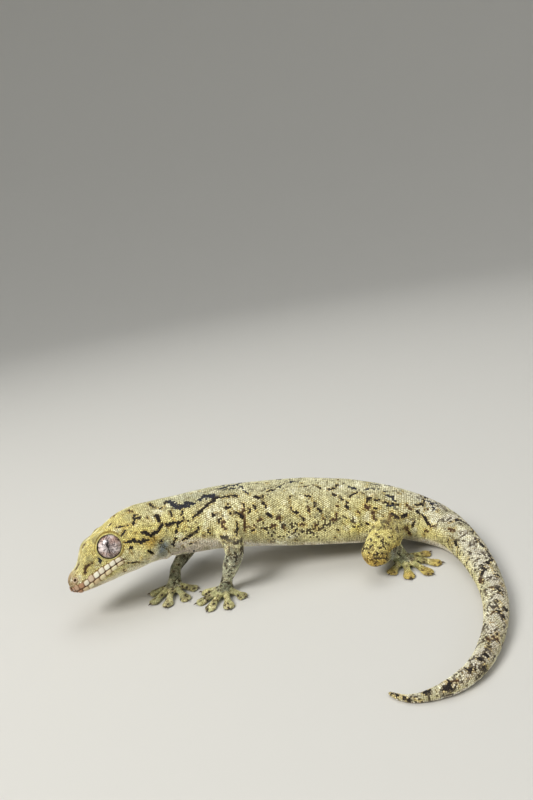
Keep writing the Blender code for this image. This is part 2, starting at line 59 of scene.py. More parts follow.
# Middle line of the animal from the tip of the snout to the tip of the tail: x, y, z
CENTRE_LINE = np.array([
    (-67.7, -17.9, 11.3), (-61.1, -14.5, 13.8), (-55.2, -11.4, 16.1), (-49.1, -8.4, 18.2),
    (-42.3, -6.0, 19.5), (-35.0, -4.4, 19.6), (-27.0, -3.0, 18.8), (-19.0, -1.7, 17.2),
    (-9.5, -0.4, 15.2), (0.5, 0.0, 13.6),
    (10.5, -0.8, 12.3), (20.0, -2.8, 11.2), (29.0, -5.4, 9.9), (35.4, -7.0, 7.9),
    (40.9, -11.6, 5.9), (44.0, -21.5, 4.2), (43.9, -34.0, 3.4), (41.7, -46.0, 3.0),
    (37.3, -56.2, 2.6), (32.4, -63.3, 2.25), (27.0, -68.0, 1.95), (21.4, -70.3, 1.55),
    (17.1, -70.8, 1.15), (13.1, -69.9, 0.8), (9.7, -66.8, 0.45),
])

# Sections along it: distance, half width, top, bottom, height of the widest place, squareness
SECTIONS = np.array([
    (0.0, 1.5, 1.2, 1.4, -0.2, 2.0), (0.7, 2.7, 2.2, 2.3, -0.2, 2.1), (2.0, 3.8, 3.2, 3.2, -0.3, 2.2),
    (4.5, 5.2, 4.4, 4.0, -0.5, 2.3), (8.0, 6.6, 5.6, 4.9, -0.7, 2.35), (11.5, 7.9, 7.0, 5.8, -0.8, 2.35),
    (15.0, 8.9, 8.2, 6.8, -0.9, 2.3), (18.5, 9.7, 9.0, 7.6, -1.1, 2.3), (22.0, 10.2, 9.2, 8.2, -1.2, 2.25),
    (25.0, 9.9, 8.9, 8.8, -1.1, 2.2), (28.5, 9.2, 8.2, 9.4, -0.8, 2.15), (34.0, 8.9, 7.6, 9.8, -0.4, 2.1),
    (40.0, 9.4, 7.8, 10.0, -0.3, 2.1), (46.0, 10.3, 8.4, 9.8, -0.5, 2.1), (53.0, 11.2, 9.1, 9.3, -0.7, 2.15),
    (62.0, 12.1, 9.6, 9.1, -1.0, 2.15), (72.0, 12.6, 9.9, 9.0, -1.2, 2.2), (82.0, 12.3, 9.6, 8.8, -1.2, 2.2),
    (91.0, 11.0, 8.9, 8.6, -0.9, 2.15), (99.0, 9.2, 8.0, 7.6, -0.6, 2.1), (106.0, 7.6, 6.9, 6.9, -0.5, 2.1),
    (111.0, 6.7, 6.1, 6.7, -0.3, 2.1), (117.0, 5.6, 5.2, 6.2, 0.0, 2.0), (124.5, 4.6, 4.3, 4.9, 0.0, 2.0),
    (134.0, 3.9, 3.6, 4.0, 0.0, 2.0), (146.0, 3.35, 3.1, 3.45, 0.0, 2.0), (157.0, 2.9, 2.7, 3.05, 0.0, 2.0),
    (167.0, 2.45, 2.25, 2.7, 0.0, 2.0), (175.0, 2.1, 1.95, 2.35, 0.0, 2.0), (182.5, 1.65, 1.5, 1.9, 0.0, 2.0),
    (188.0, 1.2, 1.1, 1.45, 0.0, 2.0), (193.0, 0.8, 0.75, 1.1, 0.0, 2.0), (197.5, 0.35, 0.35, 0.6, 0.0, 2.0),
])
TAIL_END = 197.5
SNOUT_CAP = 0.3

# Turn of the sections about the middle line, left side up: distance, degrees
ROLLS = np.array([
    (0.0, 15.0), (26.0, 14.0), (45.0, 7.0), (75.0, 4.0), (100.0, 1.0), (115.0, 0.0), (200.0, 0.0),
])

# Swellings and hollows of the head, alike on both sides: distance, angle, height, reach along, reach round
HEAD_FORMS = (
    (13.5, 56.0, 0.75, 3.6, 17.0),   # brow over the eye
    (22.0, -12.0, 0.45, 3.4, 26.0),  # jaw muscle
    (7.0, 44.0, 0.60, 3.6, 15.0),    # ridge from eye to nostril
    (8.6, 16.0, -0.45, 2.8, 15.0),   # hollow before the eye
    (2.0, 42.0, 0.30, 1.1, 20.0),    # rim of the nostril
    (9.2, 70.0, 1.75, 3.0, 25.0),    # forehead before the eyes
    (4.5, 80.0, -0.30, 2.0, 40.0),   # bridge of the snout
)

# Eye, nostril and ear, by distance from the snout, sideways and up from the middle line
EYE_AT = (15.0, 5.8, 3.8)
EYE_FORWARD = math.radians(14.0)
EYE_UP = math.radians(6.0)
EYE_RIM_RADIUS = 3.62
EYE_RIM_OUT = 2.65
NOSTRIL_AT = (2.15, 3.55, 1.40)
EAR_AT = (23.6, 9.5, -3.9)
EAR_LEAN = math.radians(-27.0)

# Line of the mouth: distance from the snout, height over the middle line
MOUTH_LINE = np.array([
    (-2.0, -1.4), (1.0, -1.6), (3.5, -1.7), (7.0, -1.35), (10.5, -1.05), (14.0, -0.95), (16.8, -1.4),
])
LIP_PLATES_FROM, LIP_PLATES_TO = 0.12, 15.1
LIP_PLATE_HEIGHT = (1.75, 1.4)
# Share of brown in each plate from the snout back, upper lip then lower
LIP_TONES = (
    (0.75, 0.60, 0.80, 0.08, 0.38, 0.0, 0.10, 0.0, 0.04, 0.12),
    (0.80, 0.85, 0.30, 0.05, 0.35, 0.12, 0.22, 0.05, 0.2),
)

# Limbs: root in the trunk, middle joint, wrist or ankle, middle of the palm
LIMBS = {
    "arm_left": ((-21.6, -7.4, 20.2), (-20.4, -17.4, 12.6), (-24.2, -15.4, 4.3), (-25.4, -16.4, 1.3)),
    "arm_right": ((-25.5, 3.6, 16.2), (-33.0, 8.2, 9.2), (-40.4, -4.6, 4.6), (-41.0, -9.4, 1.3)),
    "leg_left": ((27.5, -8.6, 9.8), (17.7, -22.3, 7.4), (25.0, -15.6, 4.4), (26.6, -17.2, 1.3)),
    "leg_right": ((28.5, -1.5, 9.8), (21.6, 12.6, 8.2), (30.2, 7.6, 3.5), (32.6, 9.6, 1.3)),
}
# Radii of the upper and the lower length, from their start to their end
LIMB_THICK = {
    "arm": ((4.5, 3.7, 2.6), (2.5, 2.5, 1.6)),
    "leg": ((4.8, 4.4, 3.6), (3.5, 3.3, 2.0)),
}
# Digits: heading in degrees from x towards y, and reach from the middle of the palm
DIGITS = {
    "arm_left": ((164.0, 7.6), (204.0, 9.2), (240.0, 9.8), (278.0, 9.4), (322.0, 7.6)),
    "arm_right": ((186.0, 7.6), (226.0, 9.4), (262.0, 10.0), (300.0, 9.4), (342.0, 7.6)),
    "leg_left": ((224.0, 7.6), (266.0, 9.4), (303.0, 10.6), (338.0, 10.8), (18.0, 9.0)),
    "leg_right": ((172.0, 8.4), (128.0, 10.8), (86.0, 12.0), (46.0, 12.2), (4.0, 9.6)),
}
# Half length, half width and half thickness of a palm
PALM_SIZE = {"arm": (3.0, 2.7, 1.5), "leg": (3.5, 3.0, 1.6)}
# Along a digit: share of its reach, half width, half thickness, height of its middle
DIGIT_FORM = np.array([
    (0.10, 1.00, 0.80, 1.25), (0.40, 0.92, 0.78, 1.30), (0.60, 1.02, 0.72, 0.95), (0.78, 1.68, 0.62, 0.52),
    (0.92, 1.50, 0.55, 0.45), (1.00, 0.75, 0.42, 0.45),
])
CLAW_LENGTH = 0.85

# Creases (depth above 0) and ridges (below 0): depth, half width, on both sides, path of distance and angle
FOLDS = (
    (0.38, 0.95, True, ((26.6, 4), (27.8, -14), (29.4, -32), (30.6, -58), (31.0, -90))),
    (-0.30, 0.80, True, ((25.6, -8), (26.6, -26), (27.8, -52), (28.4, -90))),
    (-0.30, 0.70, False, ((29.6, 0), (31.0, -18), (32.6, -40))),
    (0.25, 0.75, False, ((31.4, 14), (32.8, -4), (34.4, -26), (35.4, -48))),
    (0.18, 0.70, False, ((35.6, 24), (37.0, 6), (38.4, -14))),
    (0.25, 0.40, True, ((16.0, -12), (17.5, -17), (19.5, -25), (20.6, -38))),
    (0.28, 0.85, True, ((41.0, 30), (43.0, 14), (44.4, -4), (44.8, -20))),
    (0.22, 0.40, True, ((44.6, 44), (46.6, 33), (47.6, 20))),
    (0.22, 0.40, True, ((48.2, 42), (50.0, 33), (50.6, 22))),
    (0.38, 0.85, True, ((50.8, 34), (53.0, 20), (53.8, 4), (52.6, -10))),
    (0.25, 0.55, True, ((54.6, 22), (56.0, 8), (55.6, -8))),
    (-0.22, 0.90, True, ((55.0, -24), (64.0, -27), (75.0, -28), (87.0, -24))),
    (0.18, 0.80, True, ((57.0, -15), (66.0, -18), (76.0, -19), (86.0, -15))),
    (0.35, 0.90, True, ((88.8, 16), (91.0, 3), (91.6, -12))),
    (0.22, 0.50, True, ((86.0, 12), (88.0, 0), (88.4, -12))),
    (0.25, 0.60, True, ((93.0, 30), (97.0, 26), (101.0, 20))),
    (0.30, 0.85, True, ((102.4, 20), (103.8, 5), (103.4, -10))),
    (0.20, 0.45, False, ((108.0, 46), (109.4, 14), (109.0, -22))),
    (0.18, 0.45, False, ((112.6, 46), (113.6, 12), (113.2, -24))),
    (0.16, 0.40, False, ((117.0, 44), (117.8, 10), (117.4, -24))),
    (0.14, 0.40, False, ((121.2, 42), (121.8, 8), (121.4, -22))),
    (0.12, 0.40, False, ((125.2, 40), (125.6, 6), (125.2, -20))),
)
TAIL_RINGS_FROM = 106.0
TAIL_RING_PITCH = 3.9
TAIL_RING_DEPTH = 0.07

# Washes of colour: paint, strength, distance, angle, reach along, reach round, on both sides
WASHES = (
    ("yellow", 0.70, 15, 70, 12, 75, True), ("yellow", 0.60, 25, 12, 6, 24, True),
    ("pale", 0.45, 19, -6, 4.5, 13, True), ("pale", 0.40, 28, 40, 4, 16, True),
    ("snout", 0.80, 0.2, 20, 2.5, 150, True), ("snout", 0.35, 4, -60, 4, 40, True),
    # The strong bluish washes in the neck fold behind the jaw are painted shade of its hollow as well as its
    # blue-grey skin
    ("orange", 0.60, 26, -3, 3.0, 9, True), ("bluish", 1.0, 28.8, -26, 2.9, 17, True),
    ("bluish", 0.8, 27.4, -37, 1.9, 11, True), ("bluish", 0.22, 40, 68, 9, 22, True),
    ("lilac", 0.65, 36, -60, 8, 24, True), ("yellow", 0.35, 36, -4, 6, 18, True),
    ("pale", 0.85, 45.5, 22, 4.0, 18, True), ("pale", 0.45, 50, 38, 3.6, 12, True),
    ("yellow", 0.70, 90, 6, 3.6, 16, True), ("yellow", 0.50, 97, 34, 7, 26, True),
    ("pale", 0.75, 95.0, 27, 1.5, 6, True), ("brown", 0.12, 10, 90, 14, 45, False),
    ("pale", 0.75, 98.8, 31, 1.5, 7, True), ("pale", 0.70, 103.5, 38, 2.0, 10, True),
    ("yellow", 0.35, 112, 10, 9, 30, False), ("yellow", 0.45, 132, 10, 24, 22, False),
    ("frost", 0.80, 118, 80, 16, 50, False), ("frost", 0.85, 142, 75, 22, 70, False),
    ("lilac", 0.55, 138, 140, 36, 50, False), ("frost", 0.80, 174, 80, 26, 90, False),
    ("lilac", 0.45, 178, 140, 22, 60, False),
)

# Dark marks of left side, back and tail: paint, width, path of distance and angle. Their points were picked by
# hand on the photograph, and scratch programs turned them into these distances and angles
MARKS = (
    ("ink", 0.69, ((17.5, 22), (18.5, 21), (19, 20), (20, 18))),
    ("ink", 1.25, ((20.5, 17), (21.5, 12), (22, 8), (23.5, 6), (24.5, 4))),
    ("ink", 0.88, ((19, 11), (19, 8))),
    ("ink", 0.94, ((24, 19), (25, 17), (25.5, 10), (26, 7), (27.5, 7), (29, 8), (30, 14), (30.5, 15))),
    ("ink", 0.75, ((30.5, 15), (31.5, 14), (32.5, 11), (34, 13), (35, 10), (36.5, 12), (38, 10))),
    ("ink", 0.75, ((19, 50), (20, 46), (21, 41), (22, 41), (23, 39), (23.5, 40), (24.5, 45), (24.5, 51))),
    ("ink", 1, ((24, 47), (25, 44), (25.5, 42))),
    ("ink", 0.88, ((24.5, 52), (25, 51))),
    ("brown", 0.62, ((23.5, 63), (24, 67), (24.5, 61))),
    ("ink", 0.69, ((29.5, 36), (29.5, 33))),
    ("ink", 0.75, ((30, 29), (30, 25))),
    ("ink", 0.5, ((20.5, 39), (20, 36), (18.5, 34))),
    ("ink", 0.62, ((29, 76), (29.5, 62), (30, 55), (31, 49), (31.5, 49), (32.5, 53), (33, 65))),
    ("ink", 0.5, ((33.5, 35), (34, 27), (34, 17))),
    ("ink", 0.5, ((35, 10), (34.5, 2), (34, -5))),
    ("ink", 0.44, ((32, -31), (32.5, -23), (33.5, -18))),
    ("ink", 0.56, ((35.5, -22), (37, -21), (38, -15), (39.5, -10), (40.5, -5))),
    ("ink", 0.38, ((37, 33), (36.5, 23), (37, 14))),
    ("slate", 1.38, ((33.5, 65), (34.5, 55), (35.5, 44), (36.5, 42), (38, 46), (39, 46), (40.5, 43))),
    ("slate", 1.12, ((36.5, 40), (38, 41))),
    ("slate", 1.75, ((42, 50), (43, 55), (44, 56), (45.5, 57))),
    ("brown", 0.62, ((6, 32), (7, 32), (8.5, 30))),
    ("brown", 0.88, ((5.5, 25), (6, 29))),
    ("brown", 0.62, ((8, 75), (9.5, 71))),
    ("brown", 0.5, ((4, 63), (5, 60))),
    ("slate", 1.12, ((10.2, 25), (11.2, 27))),
    ("brown", 0.62, ((20, 83), (20.5, 88))),
    ("brown", 0.5, ((18, 66), (18.5, 67))),
    ("ink", 0.62, ((14, -2), (14.5, -5))),
    ("ink", 0.5, ((16, -12), (17.5, -17), (18.5, -21))),
    ("ink", 0.56, ((14, -22), (14, -28))),
    ("ink", 0.5, ((23, -11), (23.5, -15), (24, -22))),
    ("ink", 0.56, ((28.5, -9), (28.5, -12))),
    ("ink", 0.62, ((39.5, 16), (42, 28), (44.5, 41), (46.5, 53), (48, 49), (50, 52), (52, 51))),
    ("ink", 0.65, ((48.3, 28), (49, 30), (49.7, 30))),
    ("ink", 0.7, ((49.2, 23), (49.7, 19), (50.1, 20))),
    ("ink", 0.95, ((51.1, 21), (51.9, 20), (52.6, 17), (53.1, 14))),
    ("ink", 0.7, ((46.9, 13), (47.1, 11))),
    ("brown", 0.6, ((47.7, 8), (47.4, 6), (47.3, 2))),
    ("ink", 0.75, ((51.2, 9), (51.5, 6))),
    ("ink", 0.75, ((51.3, 2), (51.3, -1))),
    ("ink", 0.8, ((50.7, -3), (51, -6))),
    ("brown", 0.65, ((47.7, 0), (48.1, -1))),
    ("ink", 0.7, ((46.6, -12), (48.1, -9), (48.3, -11), (50.5, -12), (52.3, -12))),
    ("ink", 0.7, ((47.5, -15), (48.6, -16), (49.3, -19))),
    ("ink", 0.7, ((53.6, 35), (53.6, 29))),
    ("brown", 0.7, ((53.6, 29), (53.4, 25), (52.9, 20))),
    ("brown", 0.55, ((53.7, 16), (53.9, 9), (53.8, 1), (53.7, -6))),
    ("ink", 0.65, ((45.9, 22), (46.3, 20))),
    ("ink", 0.65, ((45.9, 11), (46.5, 8))),
    ("ink", 0.6, ((48.9, 36), (49.6, 37))),
    ("ink", 0.44, ((45, 21), (45, 18))),
    ("ink", 0.44, ((43.5, -11), (44, -15))),
    ("ink", 0.44, ((35, -38), (35.5, -41))),
    ("ink", 0.44, ((37.5, -34), (38, -31))),
    ("slate", 0.56, ((38.5, -55), (38.5, -61))),
    ("slate", 0.5, ((32, -28), (32, -33))),
    ("slate", 1, ((48, 80), (51, 89), (52.5, 89), (54, 79), (54.5, 65), (55.5, 55))),
    ("slate", 0.75, ((49, 75), (51, 74), (53, 73))),
    ("ink", 0.75, ((57.5, 47), (59, 45), (60, 49))),
    ("ink", 0.56, ((59, 44), (59.5, 39), (60, 35))),
    ("ink", 0.81, ((60.5, 32), (60.5, 30))),
    ("ink", 0.56, ((61.5, 58), (62.5, 61), (64, 62))),
    ("ink", 0.62, ((53.5, 35), (54, 33))),
    ("ink", 0.56, ((55, 29), (55.5, 24))),
    ("ink", 0.56, ((56.5, 33), (57, 30), (57, 26))),
    ("ink", 0.69, ((60.5, 21), (61, 19), (62, 17))),
    ("brown", 0.75, ((64, 15), (65, 14))),
    ("ink", 0.62, ((69, 47), (68.5, 43), (68.5, 38))),
    ("ink", 0.56, ((68.5, 31), (69, 30))),
    ("ink", 0.62, ((69.5, 24), (71, 23))),
    ("ink", 0.5, ((71, 19), (71.5, 19))),
    ("ink", 0.62, ((72.5, 16), (73, 14))),
    ("brown", 0.69, ((71.5, 7), (72.5, 8), (73.5, 7))),
    ("ink", 0.62, ((74, 49), (75.5, 48), (76, 41))),
    ("ink", 0.62, ((77, 38), (77, 35), (76.5, 32))),
    ("ink", 1.06, ((78, 28), (78.5, 27))),
    ("brown", 0.62, ((79, 20), (79.5, 17))),
    ("brown", 0.44, ((74.5, 31), (75, 28), (75, 24))),
    ("ink", 0.62, ((83, 53), (84.5, 50), (85, 49))),
    ("ink", 0.56, ((85.5, 46), (86, 44))),
    ("ink", 0.69, ((87.5, 41), (87.5, 39))),
    ("ink", 0.69, ((87, 34), (88, 33))),
    ("brown", 0.62, ((84, 34), (84.5, 33))),
    ("brown", 0.62, ((84, 23), (84, 21))),
    ("brown", 0.62, ((82.5, 15), (83.5, 15))),
    ("slate", 0.5, ((66, 71), (69.5, 84), (71.5, 91), (72.5, 95))),
    ("ink", 0.5, ((72.5, 68), (74, 69), (74.5, 69))),
    ("ink", 0.5, ((77.5, 71), (78.5, 67), (79, 63))),
    ("ink", 0.5, ((81.5, 62), (83, 65), (84, 69), (84.5, 81))),
    ("slate", 0.56, ((85, 91), (86.5, 83), (88, 76), (89.5, 70), (90.5, 70))),
    ("slate", 0.5, ((93, 70), (95, 80), (96.5, 80), (99, 76))),
    ("ink", 0.62, ((88.5, 52), (89.5, 57), (91, 61), (92.5, 60))),
    ("ink", 0.69, ((94, 45), (94.5, 50), (95, 53))),
    ("brown", 1, ((93.5, 38), (94, 35), (95, 37))),
    ("brown", 0.75, ((91, 27), (91.5, 26))),
    ("brown", 0.62, ((93, 30), (93.5, 30))),
    ("ink", 0.56, ((96, 34), (97, 34))),
    ("ink", 0.56, ((96.5, 50), (97.5, 50))),
    ("slate", 0.62, ((98.5, 66), (100, 61), (101, 58))),
    ("ink", 0.5, ((56, -4), (56.5, -6))),
    ("brown", 0.62, ((55, 2), (55, 1))),
    ("brown", 0.62, ((56.5, 4), (56.5, 3))),
    ("brown", 0.62, ((57.5, 10), (59, 13))),
    ("ink", 0.5, ((59, 0), (60, -1))),
    ("brown", 0.56, ((62, 3), (63.5, 6))),
    ("brown", 0.5, ((66, 3), (66.5, 1))),
    ("ink", 0.44, ((69.5, 0), (70, -1))),
    ("brown", 0.56, ((76.5, 4), (77, 8))),
    ("ink", 0.5, ((84, 1), (84.5, 0))),
    ("ink", 0.5, ((94, 8), (94.5, 7))),
    ("ink", 0.75, ((96.2, 5), (97.8, 8), (98.9, 6))),
    ("ink", 0.85, ((100.4, 30), (101.1, 25), (101.6, 21), (102.5, 20))),
    ("ink", 0.95, ((102.9, 22), (104.1, 26))),
    ("brown", 0.9, ((100.4, 24), (100.2, 18), (99.9, 13), (99.7, 9))),
    ("brown", 0.7, ((99.3, 8), (100.6, 6), (101.3, 4))),
    ("ink", 0.85, ((106.9, 17), (106.5, 7))),
    ("brown", 0.8, ((103.9, 3), (105, -4), (105.5, -11), (106.6, -19))),
    ("ink", 0.8, ((106.5, 53), (107.5, 60), (109.2, 68), (108.9, 88))),
    ("ink", 0.8, ((107, 41), (108.8, 39), (108.6, 33))),
    ("ink", 0.8, ((109.5, 38), (111.3, 36), (112.7, 30), (114.5, 25), (115.1, 23))),
    ("brown", 0.7, ((115.2, 21), (117.2, 32))),
    ("ink", 0.7, ((98.6, 0), (100.1, -2), (100.9, -7))),
    ("brown", 0.7, ((103.9, 49), (104.5, 42), (105.3, 41))),
    ("brown", 0.7, ((109.8, 53), (111.1, 63))),
    ("brown", 0.7, ((113.1, 2), (114, 5))),
    ("slate", 1.1, ((99.6, 42), (100.9, 44))),
    ("brown", 0.8, ((95.9, 26), (95.9, 17))),
    ("ink", 0.94, ((97, 0), (97.5, 0))),
    ("ink", 0.69, ((97.5, 1), (98, 1))),
    ("ink", 0.75, ((99, 47), (100.5, 47), (102, 46))),
    ("slate", 0.75, ((98.5, 64), (99.5, 65), (101, 55))),
    ("slate", 0.62, ((108.5, 87), (111, 88), (113, 105))),
    ("ink", 0.62, ((120, 68), (120.5, 86), (120.5, 110), (122, 124))),
    ("brown", 1.19, ((122.5, 51), (123.5, 57))),
    ("ink", 0.62, ((124.5, 36), (127, 33), (129.5, 30))),
    ("ink", 0.62, ((124, 140), (126, 126))),
    ("ink", 0.75, ((130, 110), (131, 120), (135.5, 134), (138.5, 135))),
    ("ink", 1, ((136.5, 136), (139.5, 131), (140.5, 102))),
    ("ink", 0.88, ((141.5, 76), (143.5, 69), (144.5, 56))),
    ("brown", 0.88, ((146, 37), (147.5, 49))),
    ("ink", 0.62, ((143, 110), (144, 117))),
    ("ink", 0.62, ((145.5, 120), (146, 136))),
    ("brown", 0.62, ((150.5, 78), (151, 84))),
    ("ink", 0.75, ((151.5, 106), (152.5, 126))),
    ("ink", 0.75, ((156, 98), (156, 119))),
    ("ink", 1.25, ((158, 117), (157.5, 152))),
    ("ink", 0.75, ((159.5, 100), (159, 118))),
    ("brown", 0.75, ((161, 64), (160, 80))),
    ("ink", 0.88, ((161, 135), (161, 152))),
    ("brown", 0.62, ((164, 69), (163.5, 81))),
    ("brown", 0.88, ((169, 81), (169.5, 97))),
    ("brown", 1.12, ((168, 124), (168, 141))),
    ("ink", 0.62, ((171, 109), (171, 129))),
    ("ink", 0.75, ((173.5, 121), (173.5, 139))),
    ("ink", 0.88, ((176.5, 144), (175.5, 180))),
    ("ink", 0.75, ((175.5, 108), (175, 117))),
    ("ink", 0.75, ((179, 89), (179, 124), (178, 114))),
    ("brown", 1, ((183, 112), (182.5, 125))),
    ("ink", 0.62, ((186, 135), (185, 129), (184.5, 132))),
    ("ink", 0.62, ((184, 84), (184, 110))),
    ("ink", 0.75, ((188.5, 81), (189.5, 99))),
    ("ink", 0.75, ((191, -158), (190.5, -142))),
    ("ink", 0.62, ((193.5, 136), (192.5, -178))),
    ("ink", 0.62, ((196.5, 85), (195.5, 103))),
)
# Every fifth mark isn't repeated on the right side
MIRRORED_MARKS_SKIP = 5
# Spacing of scattered markings: pale cells and specks of the body, net of the tail, net and specks of limbs
PALE_CELL, BODY_SPECK, TAIL_NET, LIMB_NET, LIMB_SPECK = 3.4, 2.1, 1.7, 2.6, 1.15

SCALE_CORNERS = 6
# A scale's rings from its base up: share of its half length, height at the front, height at the back
SCALE_RINGS = ((1.00, -0.55, -0.15), (0.80, 0.35, 0.62), (0.42, 0.82, 0.98))
SCALE_TOP = (0.16, 1.02)
# Tints of those rings and of the top, and of the skin between the scales, as seen on screen: painted shade
# darkens the base ring and the skin in the gaps between the scales, and painted highlight lightens the upper
# ring and the top
SCALE_PAINTED_SHADING = ((0.74, 0.70, 0.58), (0.96, 0.95, 0.91), (1.02, 1.02, 1.02), (1.03, 1.03, 1.03))
BETWEEN_SCALES_SHADE = (0.66, 0.60, 0.46)
BAKE_PATCH = 0.003


def length_value(name, description, millimetres):
    """A length of the settings panel."""
    return bpy.props.FloatProperty(
        name=name, description=description, default=millimetres * MM, unit="LENGTH")


def share_value(name, description, share):
    """A share of the settings panel."""
    return bpy.props.FloatProperty(name=name, description=description, default=share, subtype="FACTOR")


def turn_value(name, description, degrees):
    """A turn of the settings panel."""
    return bpy.props.FloatProperty(
        name=name, description=description, default=math.radians(degrees), unit="ROTATION")


def power_value(name, description, watts):
    """A light's power in the settings panel."""
    return bpy.props.FloatProperty(name=name, description=description, default=watts, unit="POWER")


class Skin(bpy.types.PropertyGroup):
    grain: length_value("Grain", "Spacing of the skin's points", 0.39)
    depth: length_value("Depth", "How far the skin lies under the tops of the scales", 0.13)
    creases: share_value("Creases", "How deep the creases of neck, shoulder and groin are cut", 1.0)
    orbit: length_value("Orbit", "Radius of the skin that holds the eyeball", 4.28)


class Scales(bpy.types.PropertyGroup):
    head: length_value("Head", "Spacing of the head's granules", 0.50)
    body: length_value("Body", "Spacing of the body's scales", 0.64)
    tail: length_value("Tail", "Spacing of the tail's scales", 0.66)
    limb: length_value("Limb", "Spacing of the scales of the limbs", 0.56)
    digit: length_value("Digit", "Spacing of the scales of the digits", 0.44)
    height: share_value("Height", "Height of a scale as a share of its spacing", 0.25)
    overlap: share_value("Overlap", "Half length of a scale as a share of its spacing", 0.57)


def colour_value(name, description, red, green, blue):
    """A colour of the settings panel, given as bytes from 0 to 255."""
    return bpy.props.FloatVectorProperty(
        name=name, description=description, subtype="COLOR_GAMMA", size=3, min=0.0, max=1.0,
        default=(red / 255, green / 255, blue / 255))


class Paints(bpy.types.PropertyGroup):
    back: colour_value("Back", "Ground colour of the back", 217, 213, 174)
    flank: colour_value("Flank", "Ground colour of the sides", 234, 227, 170)
    belly: colour_value("Belly", "Ground colour of the underside", 250, 242, 228)
    pale: colour_value("Pale", "Palest scales in the middle of a cell", 255, 252, 222)
    yellow: colour_value("Yellow", "Yellow wash of head, groin and hip", 242, 226, 124)
    orange: colour_value("Orange", "Warm patch behind the jaw", 214, 168, 62)
    gold: colour_value("Gold", "Gold scales of knee and toe pads", 206, 162, 62)
    snout: colour_value("Snout", "Brown tip of the snout", 158, 122, 92)
    # In the neck fold this blue-grey is painted shade of the hollow as well as the skin's own colour
    bluish: colour_value("Bluish", "Bare blue-grey skin of the neck fold", 136, 150, 162)
    frost: colour_value("Frost", "Whitish grey of the tail", 232, 230, 218)
    lilac: colour_value("Lilac", "Lilac grey of throat and tail", 178, 166, 158)
    limb: colour_value("Limb", "Grey green of the limbs", 164, 170, 134)
    # Ink is also the painted shade in the nostrils and ears
    ink: colour_value("Ink", "Blackest marks", 22, 13, 6)
    brown: colour_value("Brown", "Brown marks and the edges of dark ones", 78, 52, 28)
    slate: colour_value("Slate", "Blue-black blotches of the back", 36, 38, 50)
    lip: colour_value("Lip", "Cream of the lip plates", 250, 246, 224)
    lip_edge: colour_value("Lip Edge", "Brown of the foremost lip plates", 164, 112, 76)
    # The mouth's dark line is painted shade in the crease of the closed mouth
    mouth: colour_value("Mouth", "Dark line of the mouth", 104, 74, 50)
    rim: colour_value("Eye Rim", "Pale ring round the eye", 240, 228, 150)
    claw: colour_value("Claw", "Horn of the claws", 92, 74, 52)


class Eyes(bpy.types.PropertyGroup):
    radius: length_value("Radius", "Radius of the eyeball", 3.75)
    opening: length_value("Opening", "Radius of the opening in the skin", 3.30)
    iris: colour_value("Iris", "Silver pink of the iris", 250, 236, 234)
    iris_shade: colour_value("Iris Shade", "Darker parts of the iris", 206, 172, 158)
    veins: colour_value("Veins", "Fine dark veins of the iris", 62, 34, 32)
    slit: colour_value("Pupil", "Slit of the pupil", 30, 14, 16)
    slit_lean: turn_value("Slit Lean", "Turn of the pupil's slit in the eye", -22.0)


class Studio(bpy.types.PropertyGroup):
    camera_at: bpy.props.FloatVectorProperty(
        name="Camera", description="Place of the camera in the animal's own frame", size=3,
        default=(-4.185 * MM, -177.547 * MM, 93.919 * MM), unit="LENGTH")
    camera_down: turn_value("Down", "How far the camera looks down", 13.76)
    camera_roll: turn_value("Roll", "Turn of the camera about its own axis", -10.0)
    lens: bpy.props.FloatProperty(
        name="Lens", description="Focal length on a 36 mm wide sensor", default=27.9, unit="CAMERA")
    floor: colour_value("Floor", "Colour of floor and backdrop", 210, 208, 202)
    key_power: power_value("Key", "Power of the key light", 5.0)
    fill_power: power_value("Fill", "Power of the fill light", 0.9)
    top_power: power_value("Top", "Power of the light overhead", 1.4)
    sky: bpy.props.FloatProperty(
        name="Sky", description="Strength of the light from all round", default=0.62)


def spline(knots, values, places):
    """Natural cubic spline through the values at the knots, read at the places."""
    knots, values = np.asarray(knots, float), np.asarray(values, float)
    steps = np.diff(knots)
    slopes = np.diff(values, axis=0) / steps[:, None]
    system = np.eye(len(knots))
    right = np.zeros_like(values)
    inner = np.arange(1, len(knots) - 1)
    system[inner, inner - 1] = steps[:-1]
    system[inner, inner] = 2 * (steps[:-1] + steps[1:])
    system[inner, inner + 1] = steps[1:]
    right[inner] = 6 * (slopes[1:] - slopes[:-1])
    bends = np.linalg.solve(system, right)
    places = np.asarray(places, float)
    i = np.clip(np.searchsorted(knots, places) - 1, 0, len(steps) - 1)
    h = steps[i][:, None]
    before = (places - knots[i])[:, None]
    after = h - before
    return (
        (bends[i] * after ** 3 + bends[i + 1] * before ** 3) / (6 * h)
        + (values[i] / h - bends[i] * h / 6) * after
        + (values[i + 1] / h - bends[i + 1] * h / 6) * before
    )


def unit(vectors):
    """Vectors of length 1 in the same directions."""
    return vectors / np.maximum(np.linalg.norm(vectors, axis=-1, keepdims=True), 1e-9)


def smooth(low, high, values):
    """0 below low, 1 above high, and 3t^2 - 2t^3 between."""
    t = np.clip((values - low) / (high - low), 0, 1)
    return t * t * (3 - 2 * t)


def mixed(one, two, share):
    """One colour going over to another as the share goes from 0 to 1."""
    return one + (two - one) * np.asarray(share)[..., None]


def signed_power(value, power):
    """The size raised to the power, with the sign kept."""
    return np.sign(value) * np.abs(value) ** power


def away_from(points, place):
    """Distance of each point from a place."""
    return np.linalg.norm(points - place, axis=1)


def run_lengths(points):
    """Length of the path through the points up to each of them."""
    return np.concatenate([[0.0], np.cumsum(np.linalg.norm(np.diff(points, axis=0), axis=1))])


def round_turns(count):
    """Evenly spaced turns of a full circle, as a row."""
    return np.linspace(0, 2 * math.pi, count, endpoint=False)[None, :]


